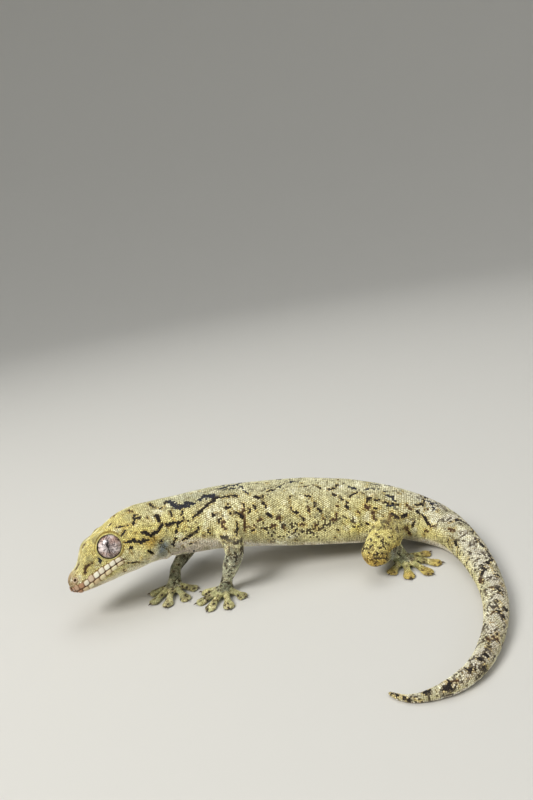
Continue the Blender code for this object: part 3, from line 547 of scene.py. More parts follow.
def level_way(heading):
    """Level direction of a heading in degrees from x towards y."""
    return np.array((math.cos(math.radians(heading)), math.sin(math.radians(heading)), 0.0))


def mouth_height(along):
    """Height of the mouth line at distances from the snout."""
    return np.interp(along, MOUTH_LINE[:, 0], MOUTH_LINE[:, 1])


def cell_number(cells, seed):
    """A repeatable number from 0 to 1 for each cell of whole numbers."""
    mixed_up = (cells * np.array((73856093, 19349663, 83492791))).sum(axis=-1) + seed * 7919
    mixed_up = (mixed_up ^ (mixed_up >> 13)) * 1274126177
    mixed_up = (mixed_up ^ (mixed_up >> 15)) * 668265263
    return ((mixed_up ^ (mixed_up >> 16)) & 0xFFFF) / 65535.0


def noise(points, size, seed):
    """Smooth random values from 0 to 1: one at each corner of cubes of that size, blended between."""
    place = points / size
    cell = np.floor(place).astype(np.int64)
    share = place - cell
    share = share * share * (3 - 2 * share)
    total = np.zeros(len(points))
    for corner in np.ndindex(2, 2, 2):
        weight = np.prod(np.where(np.array(corner) == 1, share, 1 - share), axis=-1)
        total += weight * cell_number(cell + np.array(corner), seed)
    return total


def cells(points, size, seed):
    """Irregular cells: distance to the nearest and second nearest of points scattered one to a cube, and the
    nearest one's own number.
    """
    place = points / size
    home = np.floor(place).astype(np.int64)
    first = np.full(len(points), 9.0)
    second = np.full(len(points), 9.0)
    number = np.zeros(len(points))
    for step in np.ndindex(3, 3, 3):
        cell = home + np.array(step) - 1
        middle = cell + np.stack([cell_number(cell, seed + k) for k in range(3)], axis=-1)
        gap = np.linalg.norm(middle - place, axis=-1)
        nearer = gap < first
        second = np.where(nearer, first, np.minimum(second, gap))
        number = np.where(nearer, cell_number(cell, seed + 3), number)
        first = np.where(nearer, gap, first)
    return first * size, second * size, number


CENTRE_KNOTS = run_lengths(CENTRE_LINE)
TRUNK_STEP = 0.1


def trunk_table():
    """Rows every 0.1 mm along the trunk: middle, tailward, left, up, half width, top, bottom, belt, power.

    Left is level and square to the middle line, up is square to both, and both are turned by the roll.
    """
    along = np.arange(0, TAIL_END + TRUNK_STEP, TRUNK_STEP)
    middle = spline(CENTRE_KNOTS, CENTRE_LINE, along)
    ahead, behind = (spline(CENTRE_KNOTS, CENTRE_LINE, along + step) for step in (0.5, -0.5))
    tailward = unit(ahead - behind)
    left = unit(np.cross(tailward, (0.0, 0.0, 1.0)))
    up = np.cross(left, tailward)
    roll = np.radians(np.interp(along, ROLLS[:, 0], ROLLS[:, 1]))[:, None]
    rolled = left * np.cos(roll) + up * np.sin(roll), up * np.cos(roll) - left * np.sin(roll)
    return np.hstack([middle, tailward, *rolled, spline(SECTIONS[:, 0], SECTIONS[:, 1:], along)])


TRUNK_TABLE = trunk_table()


def trunk_rows(along):
    """Rows of the trunk's table at any distances, read between its own rows."""
    place = np.clip(along, 0, TAIL_END) / TRUNK_STEP
    row = np.minimum(place.astype(int), len(TRUNK_TABLE) - 2)
    share = (place - row)[..., None]
    return TRUNK_TABLE[row] * (1 - share) + TRUNK_TABLE[row + 1] * share


def head_form(along, turn):
    """Height of the head's own swellings: a bell shape round each one's place, on both sides."""
    height = np.zeros(np.broadcast(along, turn).shape)
    for place, angle, lift, reach, spread in HEAD_FORMS:
        for side in (angle, 180.0 - angle):
            off = (np.degrees(turn) - side + 180.0) % 360.0 - 180.0
            height = height + lift * np.exp(-((along - place) / reach) ** 2 - (off / spread) ** 2)
    return height


def in_head(along, across, height):
    """Place of a point by distance from the snout, sideways to the left, and up."""
    row = trunk_rows(np.array(along, float))
    return row[:3] + row[6:9] * across + row[9:12] * height


def turn_of(across, rise, rows):
    """The section's own turn for a direction: the inverse of |cos|^(2/p) and |sin|^(2/p)."""
    width, top, bottom, belt, power = np.moveaxis(rows[..., 12:], -1, 0)
    tall = np.where(rise > 0, top - belt, bottom + belt)
    return np.arctan2(signed_power(rise / tall, power / 2), signed_power(across / width, power / 2))


class Trunk:
    """Head, neck, body and tail as one surface of distance and turn.

    The section is |cos|^(2/p) times the half width sideways and |sin|^(2/p) times the top or bottom upwards,
    and the head's forms stretch it outwards. Before the snout it shrinks as a half circle.
    """
    limb = None
    part = "trunk"

    def surface(self, along, turn, lift=0.0):
        """Points of the surface, lifted off it."""
        rows = trunk_rows(np.asarray(along, float))
        c, s = np.cos(turn), np.sin(turn)
        width, top, bottom, belt, power = np.moveaxis(rows[..., 12:], -1, 0)
        before = np.clip(-np.asarray(along, float) / SNOUT_CAP, 0, 1)
        shrink = np.sqrt(1 - before ** 2)
        across = signed_power(c, 2 / power) * width * shrink
        rise = signed_power(s, 2 / power) * np.where(s > 0, top - belt, bottom + belt) * shrink
        grow = 1 + (lift + head_form(along, turn)) / np.maximum(np.hypot(across, rise), 0.3)
        point = rows[..., :3] + rows[..., 6:9] * (across * grow)[..., None]
        point = point + rows[..., 9:12] * (belt + rise * grow)[..., None]
        point = point - rows[..., 3:6] * (before * SNOUT_CAP)[..., None]
        point[..., 2] = np.maximum(point[..., 2], 0.05)
        return point

    def place(self, points):
        """Distance from the snout, sideways and upward place: from the nearest station, moved on tailward."""
        stations = TRUNK_TABLE[::5, :3]
        away = (stations ** 2).sum(axis=1)
        nearest = np.concatenate([
            np.argmin(away - 2 * (some @ stations.T), axis=1) for some in np.array_split(points, 12)])
        along = nearest * 5 * TRUNK_STEP
        for _ in range(2):
            rows = trunk_rows(along)
            along = np.clip(along + ((points - rows[:, :3]) * rows[:, 3:6]).sum(axis=1), 0, TAIL_END)
        rows = trunk_rows(along)
        off = points - rows[:, :3]
        rise = (off * rows[:, 9:12]).sum(axis=1) - rows[:, 15]
        return along, (off * rows[:, 6:9]).sum(axis=1), rise, rows

    def gap(self, points):
        """How far points stand out of the trunk, with their share of its length."""
        along, across, rise, rows = self.place(points)
        on = self.surface(along, turn_of(across, rise, rows))
        middle = rows[:, :3] + rows[:, 9:12] * rows[:, 15:16]
        return np.hypot(across, rise) - np.linalg.norm(on - middle, axis=1), along / TAIL_END

    def ends(self):
        """Distances where the surface starts and ends."""
        return -SNOUT_CAP, TAIL_END


class Length:
    """A straight length of a limb, a digit, a palm or the orbit of an eye: rings of half sizes along a path.

    A point is the path's point, plus side times wide times cos, plus over times high times sin.
    """

    def __init__(self, limb, part, path, wide, high, side=None):
        self.limb, self.part = limb, part
        self.path, self.wide, self.high = (np.array(values, float) for values in (path, wide, high))
        self.knots = run_lengths(self.path)
        self.heading = unit(self.path[-1] - self.path[0])
        self.side = unit(np.cross(self.heading, (0.0, 0.0, 1.0)) if side is None else side)
        self.over = np.cross(self.side, self.heading)

    def ends(self):
        """Distances where the length starts and ends."""
        return 0.0, self.knots[-1]

    def rings(self, along):
        """Middle, half width and half height of the rings at distances along the path."""
        middle = np.stack([np.interp(along, self.knots, self.path[:, k]) for k in range(3)], axis=-1)
        return middle, np.interp(along, self.knots, self.wide), np.interp(along, self.knots, self.high)

    def surface(self, along, turn, lift=0.0):
        """Points of the surface, lifted off it."""
        middle, wide, high = self.rings(np.asarray(along, float))
        wide, high = wide + lift, high + lift
        point = middle + self.side * (wide * np.cos(turn))[..., None]
        point = point + self.over * (high * np.sin(turn))[..., None]
        point[..., 2] = np.maximum(point[..., 2], 0.05)
        return point

    def gap(self, points):
        """How far points stand out of the length, by the ring beside them, with their share of its length."""
        reach = np.linalg.norm(self.path[-1] - self.path[0])
        share = ((points - self.path[0]) @ self.heading) / reach
        along = np.clip(share, 0, 1) * self.knots[-1]
        middle, wide, high = self.rings(along)
        wide, high = np.maximum(wide, 0.35), np.maximum(high, 0.35)
        off = points - middle
        outside = np.hypot((off @ self.side) / wide, (off @ self.over) / high) - 1
        past = np.maximum(np.maximum(-share, share - 1), 0) * reach
        return outside * np.minimum(wide, high) + past, np.clip(share, 0, 1)


def round_ended(start, end, thick, stations=14, cap=0.8):
    """Path and radii of a length with round ends: the radius goes between its values, and past each end falls
    as a circle.
    """
    start, end = np.array(start, float), np.array(end, float)
    length = np.linalg.norm(end - start)
    angles = np.radians(np.linspace(4, 80, 6))
    inner = np.linspace(0, length, stations)
    first, last = thick[0] * cap, thick[-1] * cap
    place = np.concatenate([-first * np.cos(angles), inner, length + last * np.cos(angles[::-1])])
    share = np.concatenate([np.sin(angles), np.ones(stations), np.sin(angles[::-1])])
    radius = share * np.interp(place, np.linspace(0, length, len(thick)), thick)
    return start + np.outer(place, unit(end - start)), radius


def ball_length(middle, heading, long, wide, high):
    """Path and half sizes of an egg: its rings shrink as the square root of 1 - t^2."""
    t = -np.cos(np.linspace(math.radians(3), math.radians(177), 17))
    ring = np.sqrt(1 - t ** 2)
    return np.array(middle) + np.outer(t * long, heading), ring * wide, ring * high


def eye_axis(side):
    """Middle of the eyeball, the way it looks, and its own up and forward, for left (1) or right (-1)."""
    row = trunk_rows(np.array(EYE_AT[0]))
    tailward, left, up = row[3:6], row[6:9], row[9:12]
    look = left * side * math.cos(EYE_FORWARD) * math.cos(EYE_UP)
    look = unit(look - tailward * math.sin(EYE_FORWARD) + up * math.sin(EYE_UP))
    rise = unit(up - look * (up @ look))
    return in_head(EYE_AT[0], side * EYE_AT[1], EYE_AT[2]), look, rise, unit(np.cross(rise, look)) * side


def digit_length(palm, heading, reach):
    """A digit: its half sizes and height follow the digit's form, smoothly, and close at the tip."""
    share = np.linspace(0.02, 1.0, 30)
    form = spline(DIGIT_FORM[:, 0], DIGIT_FORM[:, 1:], np.clip(share, 0.1, 1.0))
    closing = np.sqrt(np.clip((1.004 - share) / 0.06, 0, 1))
    path = np.array((palm[0], palm[1], 0.0)) + np.outer(share * reach, level_way(heading))
    path[:, 2] = form[:, 2]
    return path, form[:, 0] * closing, form[:, 1] * closing


def body_forms():
    """Trunk, orbits and every length of the limbs, which one skin will cover."""
    forms = [Trunk()]
    for side, name in ((1, "left"), (-1, "right")):
        middle, look, rise, _ = eye_axis(side)
        radius = bpy.context.scene.gecko_skin.orbit / MM
        ball = ball_length(middle, look, radius, radius, radius)
        forms.append(Length("head", f"orbit_{name}", *ball, side=rise))
    for limb, (root, joint, wrist, palm) in LIMBS.items():
        kind = limb.split("_")[0]
        upper, lower = LIMB_THICK[kind]
        forms.append(tube(limb, "upper", root, joint, upper))
        forms.append(tube(limb, "lower", joint, wrist, lower))
        forms.append(tube(limb, "wrist", wrist, palm, (lower[-1] * 1.05, 2.0)))
        middle_digit = level_way(DIGITS[limb][2][0])
        forms.append(Length(limb, "palm", *ball_length(palm, middle_digit, *PALM_SIZE[kind])))
        for number, (heading, reach) in enumerate(DIGITS[limb]):
            forms.append(Length(limb, f"digit_{number}", *digit_length(palm, heading, reach)))
    return forms


def tube(limb, part, start, end, thick):
    """A round length of a limb with round ends."""
    path, radius = round_ended(start, end, thick)
    return Length(limb, part, path, radius, radius)


def nearest_form(forms, points):
    """Number of the form that each point lies on, its share of the length, and how far the next form is."""
    gaps, shares = zip(*(form.gap(points) for form in forms))
    gaps, shares = np.array(gaps), np.array(shares)
    own = gaps.argmin(axis=0)
    each = np.arange(len(points))
    limbs = np.array([str(form.limb) for form in forms])
    other = np.where(limbs[:, None] == limbs[own][None, :], 99.0, gaps)
    return own, shares[own, each], other.min(axis=0) - gaps[own, each]


def mesh_points(mesh):
    """Points of a mesh."""
    points = np.empty(len(mesh.vertices) * 3)
    mesh.vertices.foreach_get("co", points)
    return points.reshape(-1, 3)


def quad_mesh(mesh):
    """Points, quads and edges of a mesh of quads."""
    quads = np.empty(len(mesh.loops), np.int32)
    mesh.loops.foreach_get("vertex_index", quads)
    edges = np.empty(len(mesh.edges) * 2, np.int32)
    mesh.edges.foreach_get("vertices", edges)
    return mesh_points(mesh), quads.reshape(-1, 4), edges.reshape(-1, 2)


def frame_shift():
    """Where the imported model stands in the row's frame: the left eye's middle there, less its place here."""
    points = mesh_points(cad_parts["eye_left"].data)
    middle = (points.min(axis=0) + points.max(axis=0)) / 2 / MM
    shift = middle - eye_axis(1)[0]
    shift[2] = 0.0
    return shift


SHIFT = frame_shift()


def to_row(points):
    """Millimetres of the animal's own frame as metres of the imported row."""
    return (points + SHIFT) * MM


def from_row(points):
    """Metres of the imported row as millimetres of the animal's own frame."""
    return points / MM - SHIFT


def make_mesh(name, points, faces):
    """A mesh from points and a list of face tables, each of faces with the same count of corners."""
    corners = np.concatenate([table.ravel() for table in faces]).astype(np.int32)
    counts = np.concatenate([np.full(len(table), table.shape[1]) for table in faces])
    mesh = bpy.data.meshes.new(name)
    mesh.vertices.add(len(points))
    mesh.vertices.foreach_set("co", np.ascontiguousarray(points, np.float32).ravel())
    mesh.loops.add(len(corners))
    mesh.loops.foreach_set("vertex_index", corners)
    mesh.polygons.add(len(counts))
    mesh.polygons.foreach_set("loop_start", (np.cumsum(counts) - counts).astype(np.int32))
    mesh.update(calc_edges=True)
    mesh.shade_smooth()
    return mesh


def add_piece(name, points, faces, material, replaces=(), colours=None, patches=None):
    """A finished piece of the animal: its mesh in the row's frame, riding on the root body."""
    mesh = make_mesh(name, to_row(points), faces)
    mesh.materials.append(material)
    if colours is not None:
        coat = mesh.attributes.new("coat", "FLOAT_COLOR", "POINT")
        whole = np.ones((len(points), 4), np.float32)
        whole[:, :3] = colours
        coat.data.foreach_set("color", whole.ravel())
    if patches is not None:
        corners = np.empty(len(mesh.loops), np.int32)
        mesh.loops.foreach_get("vertex_index", corners)
        for layer_name, places in patches.items():
            layer = mesh.uv_layers.new(name=layer_name)
            layer.uv.foreach_set("vector", places[corners].astype(np.float32).ravel())
    piece = bpy.data.objects.new(name, mesh)
    bpy.context.scene.collection.objects.link(piece)
    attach(piece, "root")
    if replaces:
        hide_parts(*replaces)


def bands(near, far):
    """Quads between rings of point numbers and the rings after them."""
    return np.stack([near, far, np.roll(far, -1, 1), np.roll(near, -1, 1)], axis=-1).reshape(-1, 4)


def closed_rings(rings):
    """Points and faces of rings joined in rows, with a point in the middle of each end ring to close it."""
    rows, sides = rings.shape[:2]
    ring = np.arange(rows * sides).reshape(rows, sides)
    quads = bands(ring[:-1], ring[1:])
    first, last = np.full(sides, rows * sides), np.full(sides, rows * sides + 1)
    start = np.stack([first, ring[0], np.roll(ring[0], -1)], axis=-1)
    end = np.stack([last, np.roll(ring[-1], -1), ring[-1]], axis=-1)
    points = np.vstack([rings.reshape(-1, 3), rings[0].mean(axis=0), rings[-1].mean(axis=0)])
    return points, quads, np.vstack([start, end])


def joined(shells):
    """Several closed shells as one set of points, quads and triangles."""
    points, quads, triangles, start = [], [], [], 0
    for shell_points, shell_quads, shell_triangles in shells:
        points.append(shell_points)
        quads.append(shell_quads + start)
        triangles.append(shell_triangles + start)
        start += len(shell_points)
    return np.vstack(points), np.vstack(quads), np.vstack(triangles)


def remeshed(shells, grain):
    """One skin round all the shells, on a grid of cubes: its points, quads and edges."""
    points, quads, triangles = joined(shells)
    shell = bpy.data.objects.new("shells", make_mesh("shells", points, [quads, triangles]))
    bpy.context.scene.collection.objects.link(shell)
    step = shell.modifiers.new("skin", "REMESH")
    step.mode = "VOXEL"
    step.voxel_size = grain
    bpy.context.view_layer.update()
    mesh = bpy.data.meshes.new_from_object(shell.evaluated_get(bpy.context.evaluated_depsgraph_get()))
    tables = quad_mesh(mesh)
    bpy.data.objects.remove(shell)
    bpy.data.meshes.remove(mesh)
    return tables


def relaxed(points, edges, weight, rounds):
    """Moves each point towards the middle of its neighbours, by its own weight, several times."""
    ends = np.concatenate([edges[:, 0], edges[:, 1]])
    others = np.concatenate([edges[:, 1], edges[:, 0]])
    count = np.maximum(np.bincount(ends, minlength=len(points)), 1)
    for _ in range(rounds):
        middle = np.stack([
            np.bincount(ends, weights=points[others, k], minlength=len(points)) / count
            for k in range(3)], axis=1)
        points = points + (middle - points) * np.asarray(weight)[:, None]
    return points


def point_normals(points, quads):
    """Outward direction at each point: the sum of its quads' normals, each the product of the diagonals."""
    a, b, c, d = (points[quads[:, k]] for k in range(4))
    normals = np.cross(c - a, d - b)
    total = np.stack([
        np.bincount(quads.ravel(), weights=np.repeat(normals[:, k], 4), minlength=len(points))
        for k in range(3)], axis=1)
    return unit(total)


def short_way(degrees):
    """An angle brought between -180 and 180."""
    return (degrees + 180.0) % 360.0 - 180.0


def path_distance(along, angle, reach, path):
    """Distance in millimetres, over the surface laid flat, from places on the trunk to a path on it."""
    nearest = np.full(len(along), 99.0)
    for (near, near_angle), (far, far_angle) in zip(path, path[1:]):
        low, high = min(near, far) - 3.0, max(near, far) + 3.0
        some = np.flatnonzero((along > low) & (along < high))
        across = np.radians(short_way(angle[some] - near_angle)) * reach[some]
        run = far - near
        climb = np.radians(short_way(far_angle - near_angle)) * reach[some]
        share = np.clip(((along[some] - near) * run + across * climb) / (run ** 2 + climb ** 2 + 1e-6), 0, 1)
        gap = np.hypot(along[some] - near - run * share, across - climb * share)
        nearest[some] = np.minimum(nearest[some], gap)
    return nearest


def other_side(path):
    """A path mirrored to the other side of the body."""
    return tuple((along, 180.0 - angle) for along, angle in path)


def relief(points, along, across, rise, rows):
    """How far creases, ridges, tail rings, mouth, nostrils and ears move the skin out of or into its form.

    Each crease is a bell shape across its path, each ring one along the tail.
    """
    angle, reach = np.degrees(np.arctan2(rise, across)), np.hypot(across, rise)
    height = 0.22 * (noise(points, 4.0, 3) - 0.5) * smooth(4, 14, along)
    for depth, width, both, path in FOLDS:
        for each in (path, other_side(path)) if both else (path,):
            gap = path_distance(along, angle, reach, each)
            height -= bpy.context.scene.gecko_skin.creases * depth * np.exp(-(gap / width) ** 2)
    ring = ((along - TAIL_RINGS_FROM) / TAIL_RING_PITCH) % 1.0 - 0.5
    rings = smooth(TAIL_RINGS_FROM, TAIL_RINGS_FROM + 8, along)
    height -= TAIL_RING_DEPTH * np.exp(-(ring / 0.12) ** 2) * rings
    lips = np.abs(rise + rows[:, 15] - mouth_height(along))
    height -= 0.28 * np.exp(-(lips / 0.22) ** 2) * smooth(16.4, 15.2, along)
    for side in (1, -1):
        height -= 0.95 * np.exp(-(away_from(points, nostril_frame(side)[0]) / 0.58) ** 2)
        height -= 0.9 * np.exp(-ear_oval(points, side, 1.2, 0.40) ** 4)
    return height


def nostril_frame(side):
    """Middle of a nostril and the way that it opens."""
    tailward, left, up = trunk_rows(np.array(NOSTRIL_AT[0]))[3:12].reshape(3, 3)
    return in_head(NOSTRIL_AT[0], side * NOSTRIL_AT[1], NOSTRIL_AT[2]), unit(
        left * side * 0.75 - tailward * 0.35 + up * 0.55)


def ear_oval(points, side, half_tall, half_wide):
    """Distance from an ear opening's middle in its own half sizes: 1 on its edge, far on the other side."""
    tailward, left, up = trunk_rows(np.array(EAR_AT[0]))[3:12].reshape(3, 3)
    tall = up * math.cos(EAR_LEAN) + tailward * math.sin(EAR_LEAN)
    out = left * side
    off = points - in_head(EAR_AT[0], side * EAR_AT[1], EAR_AT[2])
    oval = np.hypot((off @ tall) / half_tall, (off @ np.cross(out, tall)) / half_wide)
    return np.where(off @ out > -2.5, oval, 99.0)


def from_eye(points, side):
    """How far points lie ahead of an eyeball's middle, the way it looks, and how far aside of that way."""
    middle, look, _, _ = eye_axis(side)
    off = points - middle
    ahead = off @ look
    return ahead, np.linalg.norm(off - np.outer(ahead, look), axis=1)


def with_openings(points):
    """Sinks the skin inside each eyeball where the eye's opening is."""
    opening = bpy.context.scene.gecko_eyes.opening / MM
    for side in (1, -1):
        ahead, aside = from_eye(points, side)
        share = smooth(opening + 0.30, opening - 0.10, aside) * (ahead > 0)
        points = points + np.outer((np.minimum(ahead, 0.6) - ahead) * share, eye_axis(side)[1])
    return points


def skin_surface():
    """Points, quads, own form and share of the one skin: the forms remeshed, smoothed where they meet, and
    set back on the trunk's own formula elsewhere, then creased and opened.
    """
    settings = bpy.context.scene.gecko_skin
    forms = body_forms()
    shells = []
    for form in forms:
        start, end = form.ends()
        step, sides = (0.5, 96) if form.limb is None else (0.3, 28)
        along = np.linspace(start + 0.01, end, int((end - start) / step) + 2)[:, None]
        shells.append(closed_rings(form.surface(along, round_turns(sides))))
    points, quads, edges = remeshed(shells, settings.grain / MM)
    own, share, other = nearest_form(forms, points)
    meeting = 1 - smooth(0.2, 2.6, other)
    limb = np.array([form.limb not in (None, "head") for form in forms])[own]
    digit = np.array([form.part.startswith("digit") for form in forms])[own]
    points = relaxed(points, edges, np.full(len(points), 0.5), 2)
    points = relaxed(points, edges, meeting * 0.5, 24)
    points = relaxed(points, edges, 0.5 * (limb & ~digit), 6)
    depth = settings.depth / MM
    along, across, rise, rows = forms[0].place(points)
    smooth_form = forms[0].surface(along, turn_of(across, rise, rows), -depth)
    inset = points - point_normals(points, quads) * depth * np.where(digit, 0.4, 0.7)[:, None]
    on_trunk = ((own == 0) & (along > 0.2) & (along < TAIL_END - 0.3)) * (1 - meeting)
    points = mixed(inset, smooth_form, on_trunk)
    lift = relief(points, along, across, rise, rows) * ~limb
    points = points + point_normals(points, quads) * lift[:, None]
    points = with_openings(points)
    points[:, 2] = np.maximum(points[:, 2], 0.06)
    return points, quads, own, share


def linear(colour):
    """A colour as seen on screen as light values: ((c + 0.055) / 1.055)^2.4, and c / 12.92 when dark."""
    colour = np.asarray(colour, float)
    return np.where(colour <= 0.04045, colour / 12.92, ((np.maximum(colour, 0.04) + 0.055) / 1.055) ** 2.4)


def paint(name):
    """A colour of the settings panel by its name."""
    return np.array(getattr(bpy.context.scene.gecko_paints, name))


def bell(along, angle, wash):
    """Strength of a wash at places of the trunk: a bell shape along it and round it."""
    _, strength, middle, turn, reach, spread, both = wash
    strongest = np.zeros(len(along))
    for side in (turn, 180.0 - turn) if both else (turn,):
        off = ((along - middle) / reach) ** 2 + (short_way(angle - side) / spread) ** 2
        strongest = np.maximum(strongest, strength * np.exp(-off))
    return strongest


def specks(points, size, seed, share, reach):
    """Scattered dark dots with a halo: strong near the middles of the cells whose own number is high."""
    first, _, number = cells(points, size, seed)
    chosen = smooth(1 - share, 1.02 - share, number)
    return smooth(reach, reach * 0.55, first) * chosen, smooth(reach * 2.2, reach, first) * chosen


def trunk_colour(points, along, angle, reach):
    """Colour of trunk, head and tail: ground, washes, pale cells, specks and dark marks."""
    folded = np.abs(short_way(angle - 90.0))
    colour = mixed(paint("back"), paint("flank"), smooth(25, 70, folded))
    colour = mixed(colour, paint("belly"), smooth(104, 120, folded))
    for wash in WASHES:
        colour = mixed(colour, paint(wash[0]), bell(along, angle, wash))
    ragged = points + 1.3 * np.stack([noise(points, 1.5, seed) - 0.5 for seed in (11, 12, 13)], axis=1)
    first, second, lot = cells(ragged, PALE_CELL, 21)
    colour = mixed(colour, paint("pale"), smooth(1.9, 0.7, first) * 0.80 * smooth(0.25, 0.65, lot))
    colour = mixed(colour, paint("flank") * 0.72, smooth(0.55, 0.75, noise(points, 2.4, 31)) * 0.42)
    seen = smooth(-50, -20, angle) * smooth(125, 100, angle) * smooth(122, 110, along)
    edge = smooth(0.40, 0.05, second - first) * smooth(0.52, 0.66, noise(points, 1.6, 32))
    edge = edge * smooth(122, 100, folded) * (1 - 0.75 * seen)
    spot, halo = specks(ragged, BODY_SPECK, 41, 0.16, 0.52)
    spot, halo = spot * smooth(132, 112, folded), halo * smooth(132, 112, folded)
    band = np.exp(-((folded - 88) / 18) ** 2) * smooth(48, 56, along) * smooth(96, 88, along)
    dot = smooth(0.70 - 0.06 * band, 0.75 - 0.06 * band, noise(points, 0.34, 42)) * smooth(124, 110, folded)
    dot = dot * smooth(0.46, 0.66, noise(points, 3.1, 43)) * (0.55 + 0.45 * band) * smooth(20, 34, along)
    spot = np.maximum(spot, dot)
    tail = smooth(116, 132, along)
    fine, wider, _ = cells(ragged, TAIL_NET, 55)
    net = smooth(0.24, 0.05, wider - fine) * smooth(0.50, 0.62, noise(points, 1.3, 56)) * tail
    net = net * smooth(140, 120, folded)
    dark = np.maximum(np.maximum(edge * 0.75, spot * 0.85), net * 0.70)
    warm = np.maximum(np.maximum(edge * 0.5, halo * 0.7), net * 0.5)
    hue = np.broadcast_to(paint("ink"), points.shape).copy()
    wobble = (0.60 * (noise(points, 0.62, 51) - 0.5) + 0.45 * (noise(points, 1.5, 52) - 0.5)
              + 0.40 * (noise(points, 0.33, 54) - 0.5)) * (1 + 0.8 * tail)
    jitter = 1.6 * (noise(points, 9.0, 53) - 0.5)
    for number, (name, wide, path) in enumerate(MARKS):
        for mirrored in (False, True):
            if mirrored and (number % MIRRORED_MARKS_SKIP == 0 or path[0][0] > 112):
                continue
            near = min(place for place, _ in path) - 3.5
            far = max(place for place, _ in path) + 3.5
            some = np.flatnonzero((along > near) & (along < far))
            if not len(some):
                continue
            way = other_side(path) if mirrored else path
            shift = jitter[some] if mirrored else 0.0
            gap = path_distance(along[some] + shift, angle[some], reach[some], way)
            gap = gap + wobble[some] * (2.0 if name == "slate" else 1.0) - wide * (0.42 - 0.12 * tail[some])
            ink = smooth(0.12, -0.05, gap)
            stronger = ink > dark[some]
            hue[some[stronger]] = paint(name)
            dark[some] = np.maximum(dark[some], ink)
            if name != "slate":
                warm[some] = np.maximum(warm[some], smooth(0.55, 0.10, gap) * 0.8)
    colour = mixed(colour, paint("gold") * 0.85, warm * 0.50 * (1 - dark))
    colour = colour + (hue - colour) * (dark * 0.96)[:, None]
    return np.clip(colour, 0, 1)


def opening_colour(colour, points, along, across, rise, rows):
    """Paints shade into the mouth line, nostrils and ears, and pales the skin behind each nostril."""
    line, upper, lower = lip_heights(along)
    height = rise + rows[:, 15] - line
    lips = smooth(upper, upper - 0.3, height) * smooth(-lower, 0.3 - lower, height)
    lips = lips * smooth(15.6, 15.0, along)
    colour = mixed(colour, mixed(paint("lip_edge"), paint("lip"), 0.55), lips)
    # Painted shade: a dark line along the crease of the closed mouth
    colour = mixed(colour, paint("mouth"), smooth(0.22, 0.08, np.abs(height)) * smooth(16.4, 15.4, along))
    for side in (1, -1):
        nose, _ = nostril_frame(side)
        for off, out, up, size in ((0.9, 0.2, -1.3, 0.85), (-0.9, -0.7, 0.5, 0.7), (1.6, 0.7, 0.2, 0.6)):
            patch = in_head(NOSTRIL_AT[0] + off, side * (NOSTRIL_AT[1] + out), NOSTRIL_AT[2] + up)
            near = np.exp(-(away_from(points, patch) / size) ** 2)
            colour = mixed(colour, paint("lip"), 0.9 * near)
        # Painted shade: the nostril and ear openings are darkened to ink for the shade in their hollows
        colour = mixed(colour, paint("ink"), smooth(0.78, 0.40, away_from(points, nose)))
        colour = mixed(colour, paint("ink"), smooth(1.15, 0.75, ear_oval(points, side, 1.25, 0.42)))
    return colour


def limb_colour(points, share, part, kind):
    """Colour of the limbs: grey green with pale and dark scales, and gold under knees and on toe pads."""
    leg = kind == "leg"
    colour = np.broadcast_to(paint("limb"), points.shape)
    if part == "upper":
        colour = mixed(colour, paint("flank"), 1.0 if leg else 0.65)
    if leg:
        colour = mixed(colour, paint("flank"), {"lower": 0.40}.get(part, 0.15))
    else:
        colour = mixed(colour, paint("frost"), {"lower": 0.45}.get(part, 0.20))
    rough = noise(points, 2.6, 61)
    colour = mixed(colour, paint("pale"), 0.60 * smooth(0.52, 0.72, noise(points, 1.0, 62)))
    colour = mixed(colour, colour * 0.62, smooth(0.50, 0.70, noise(points, 1.6, 67)) * 0.7)
    spot, halo = specks(points, LIMB_SPECK, 63, 0.46, 0.42)
    ragged = points + 1.1 * np.stack([noise(points, 1.3, seed) - 0.5 for seed in (64, 65, 66)], axis=1)
    first, second, _ = cells(ragged, LIMB_NET, 68)
    net = smooth(0.34, 0.08, second - first) * smooth(0.40, 0.54, noise(points, 1.9, 69))
    net = net * (not part.startswith("digit"))
    if part == "upper":
        low = smooth(10.5, 5.5, points[:, 2]) * smooth(0.30, 0.75, share) * leg
        colour = mixed(mixed(colour, paint("yellow"), 0.5 * leg), paint("gold"), 0.60 * low)
    if part == "lower" and leg:
        near = smooth(0.55, 0.15, share)
        colour = mixed(mixed(colour, paint("yellow"), 0.5 * near), paint("gold"),
                       0.60 * near * smooth(10.5, 5.5, points[:, 2]))
        colour = mixed(colour, paint("bluish"), 0.45 * smooth(0.30, 0.50, share) * smooth(0.85, 0.6, share))
    if part.startswith("digit"):
        colour = mixed(colour, paint("yellow"), (0.25 + 0.45 * rough) * (1.0 if leg else 0.6))
        colour = mixed(colour, paint("gold"), 0.55 * smooth(0.55, 0.80, share) * leg * 0.7)
    colour = mixed(colour, paint("brown"), halo * 0.30)
    strength = 0.85 if part == "upper" or not leg else 0.65
    colour = mixed(colour, paint("ink"), np.maximum(spot * strength, net * 0.8))
    return np.clip(colour, 0, 1)


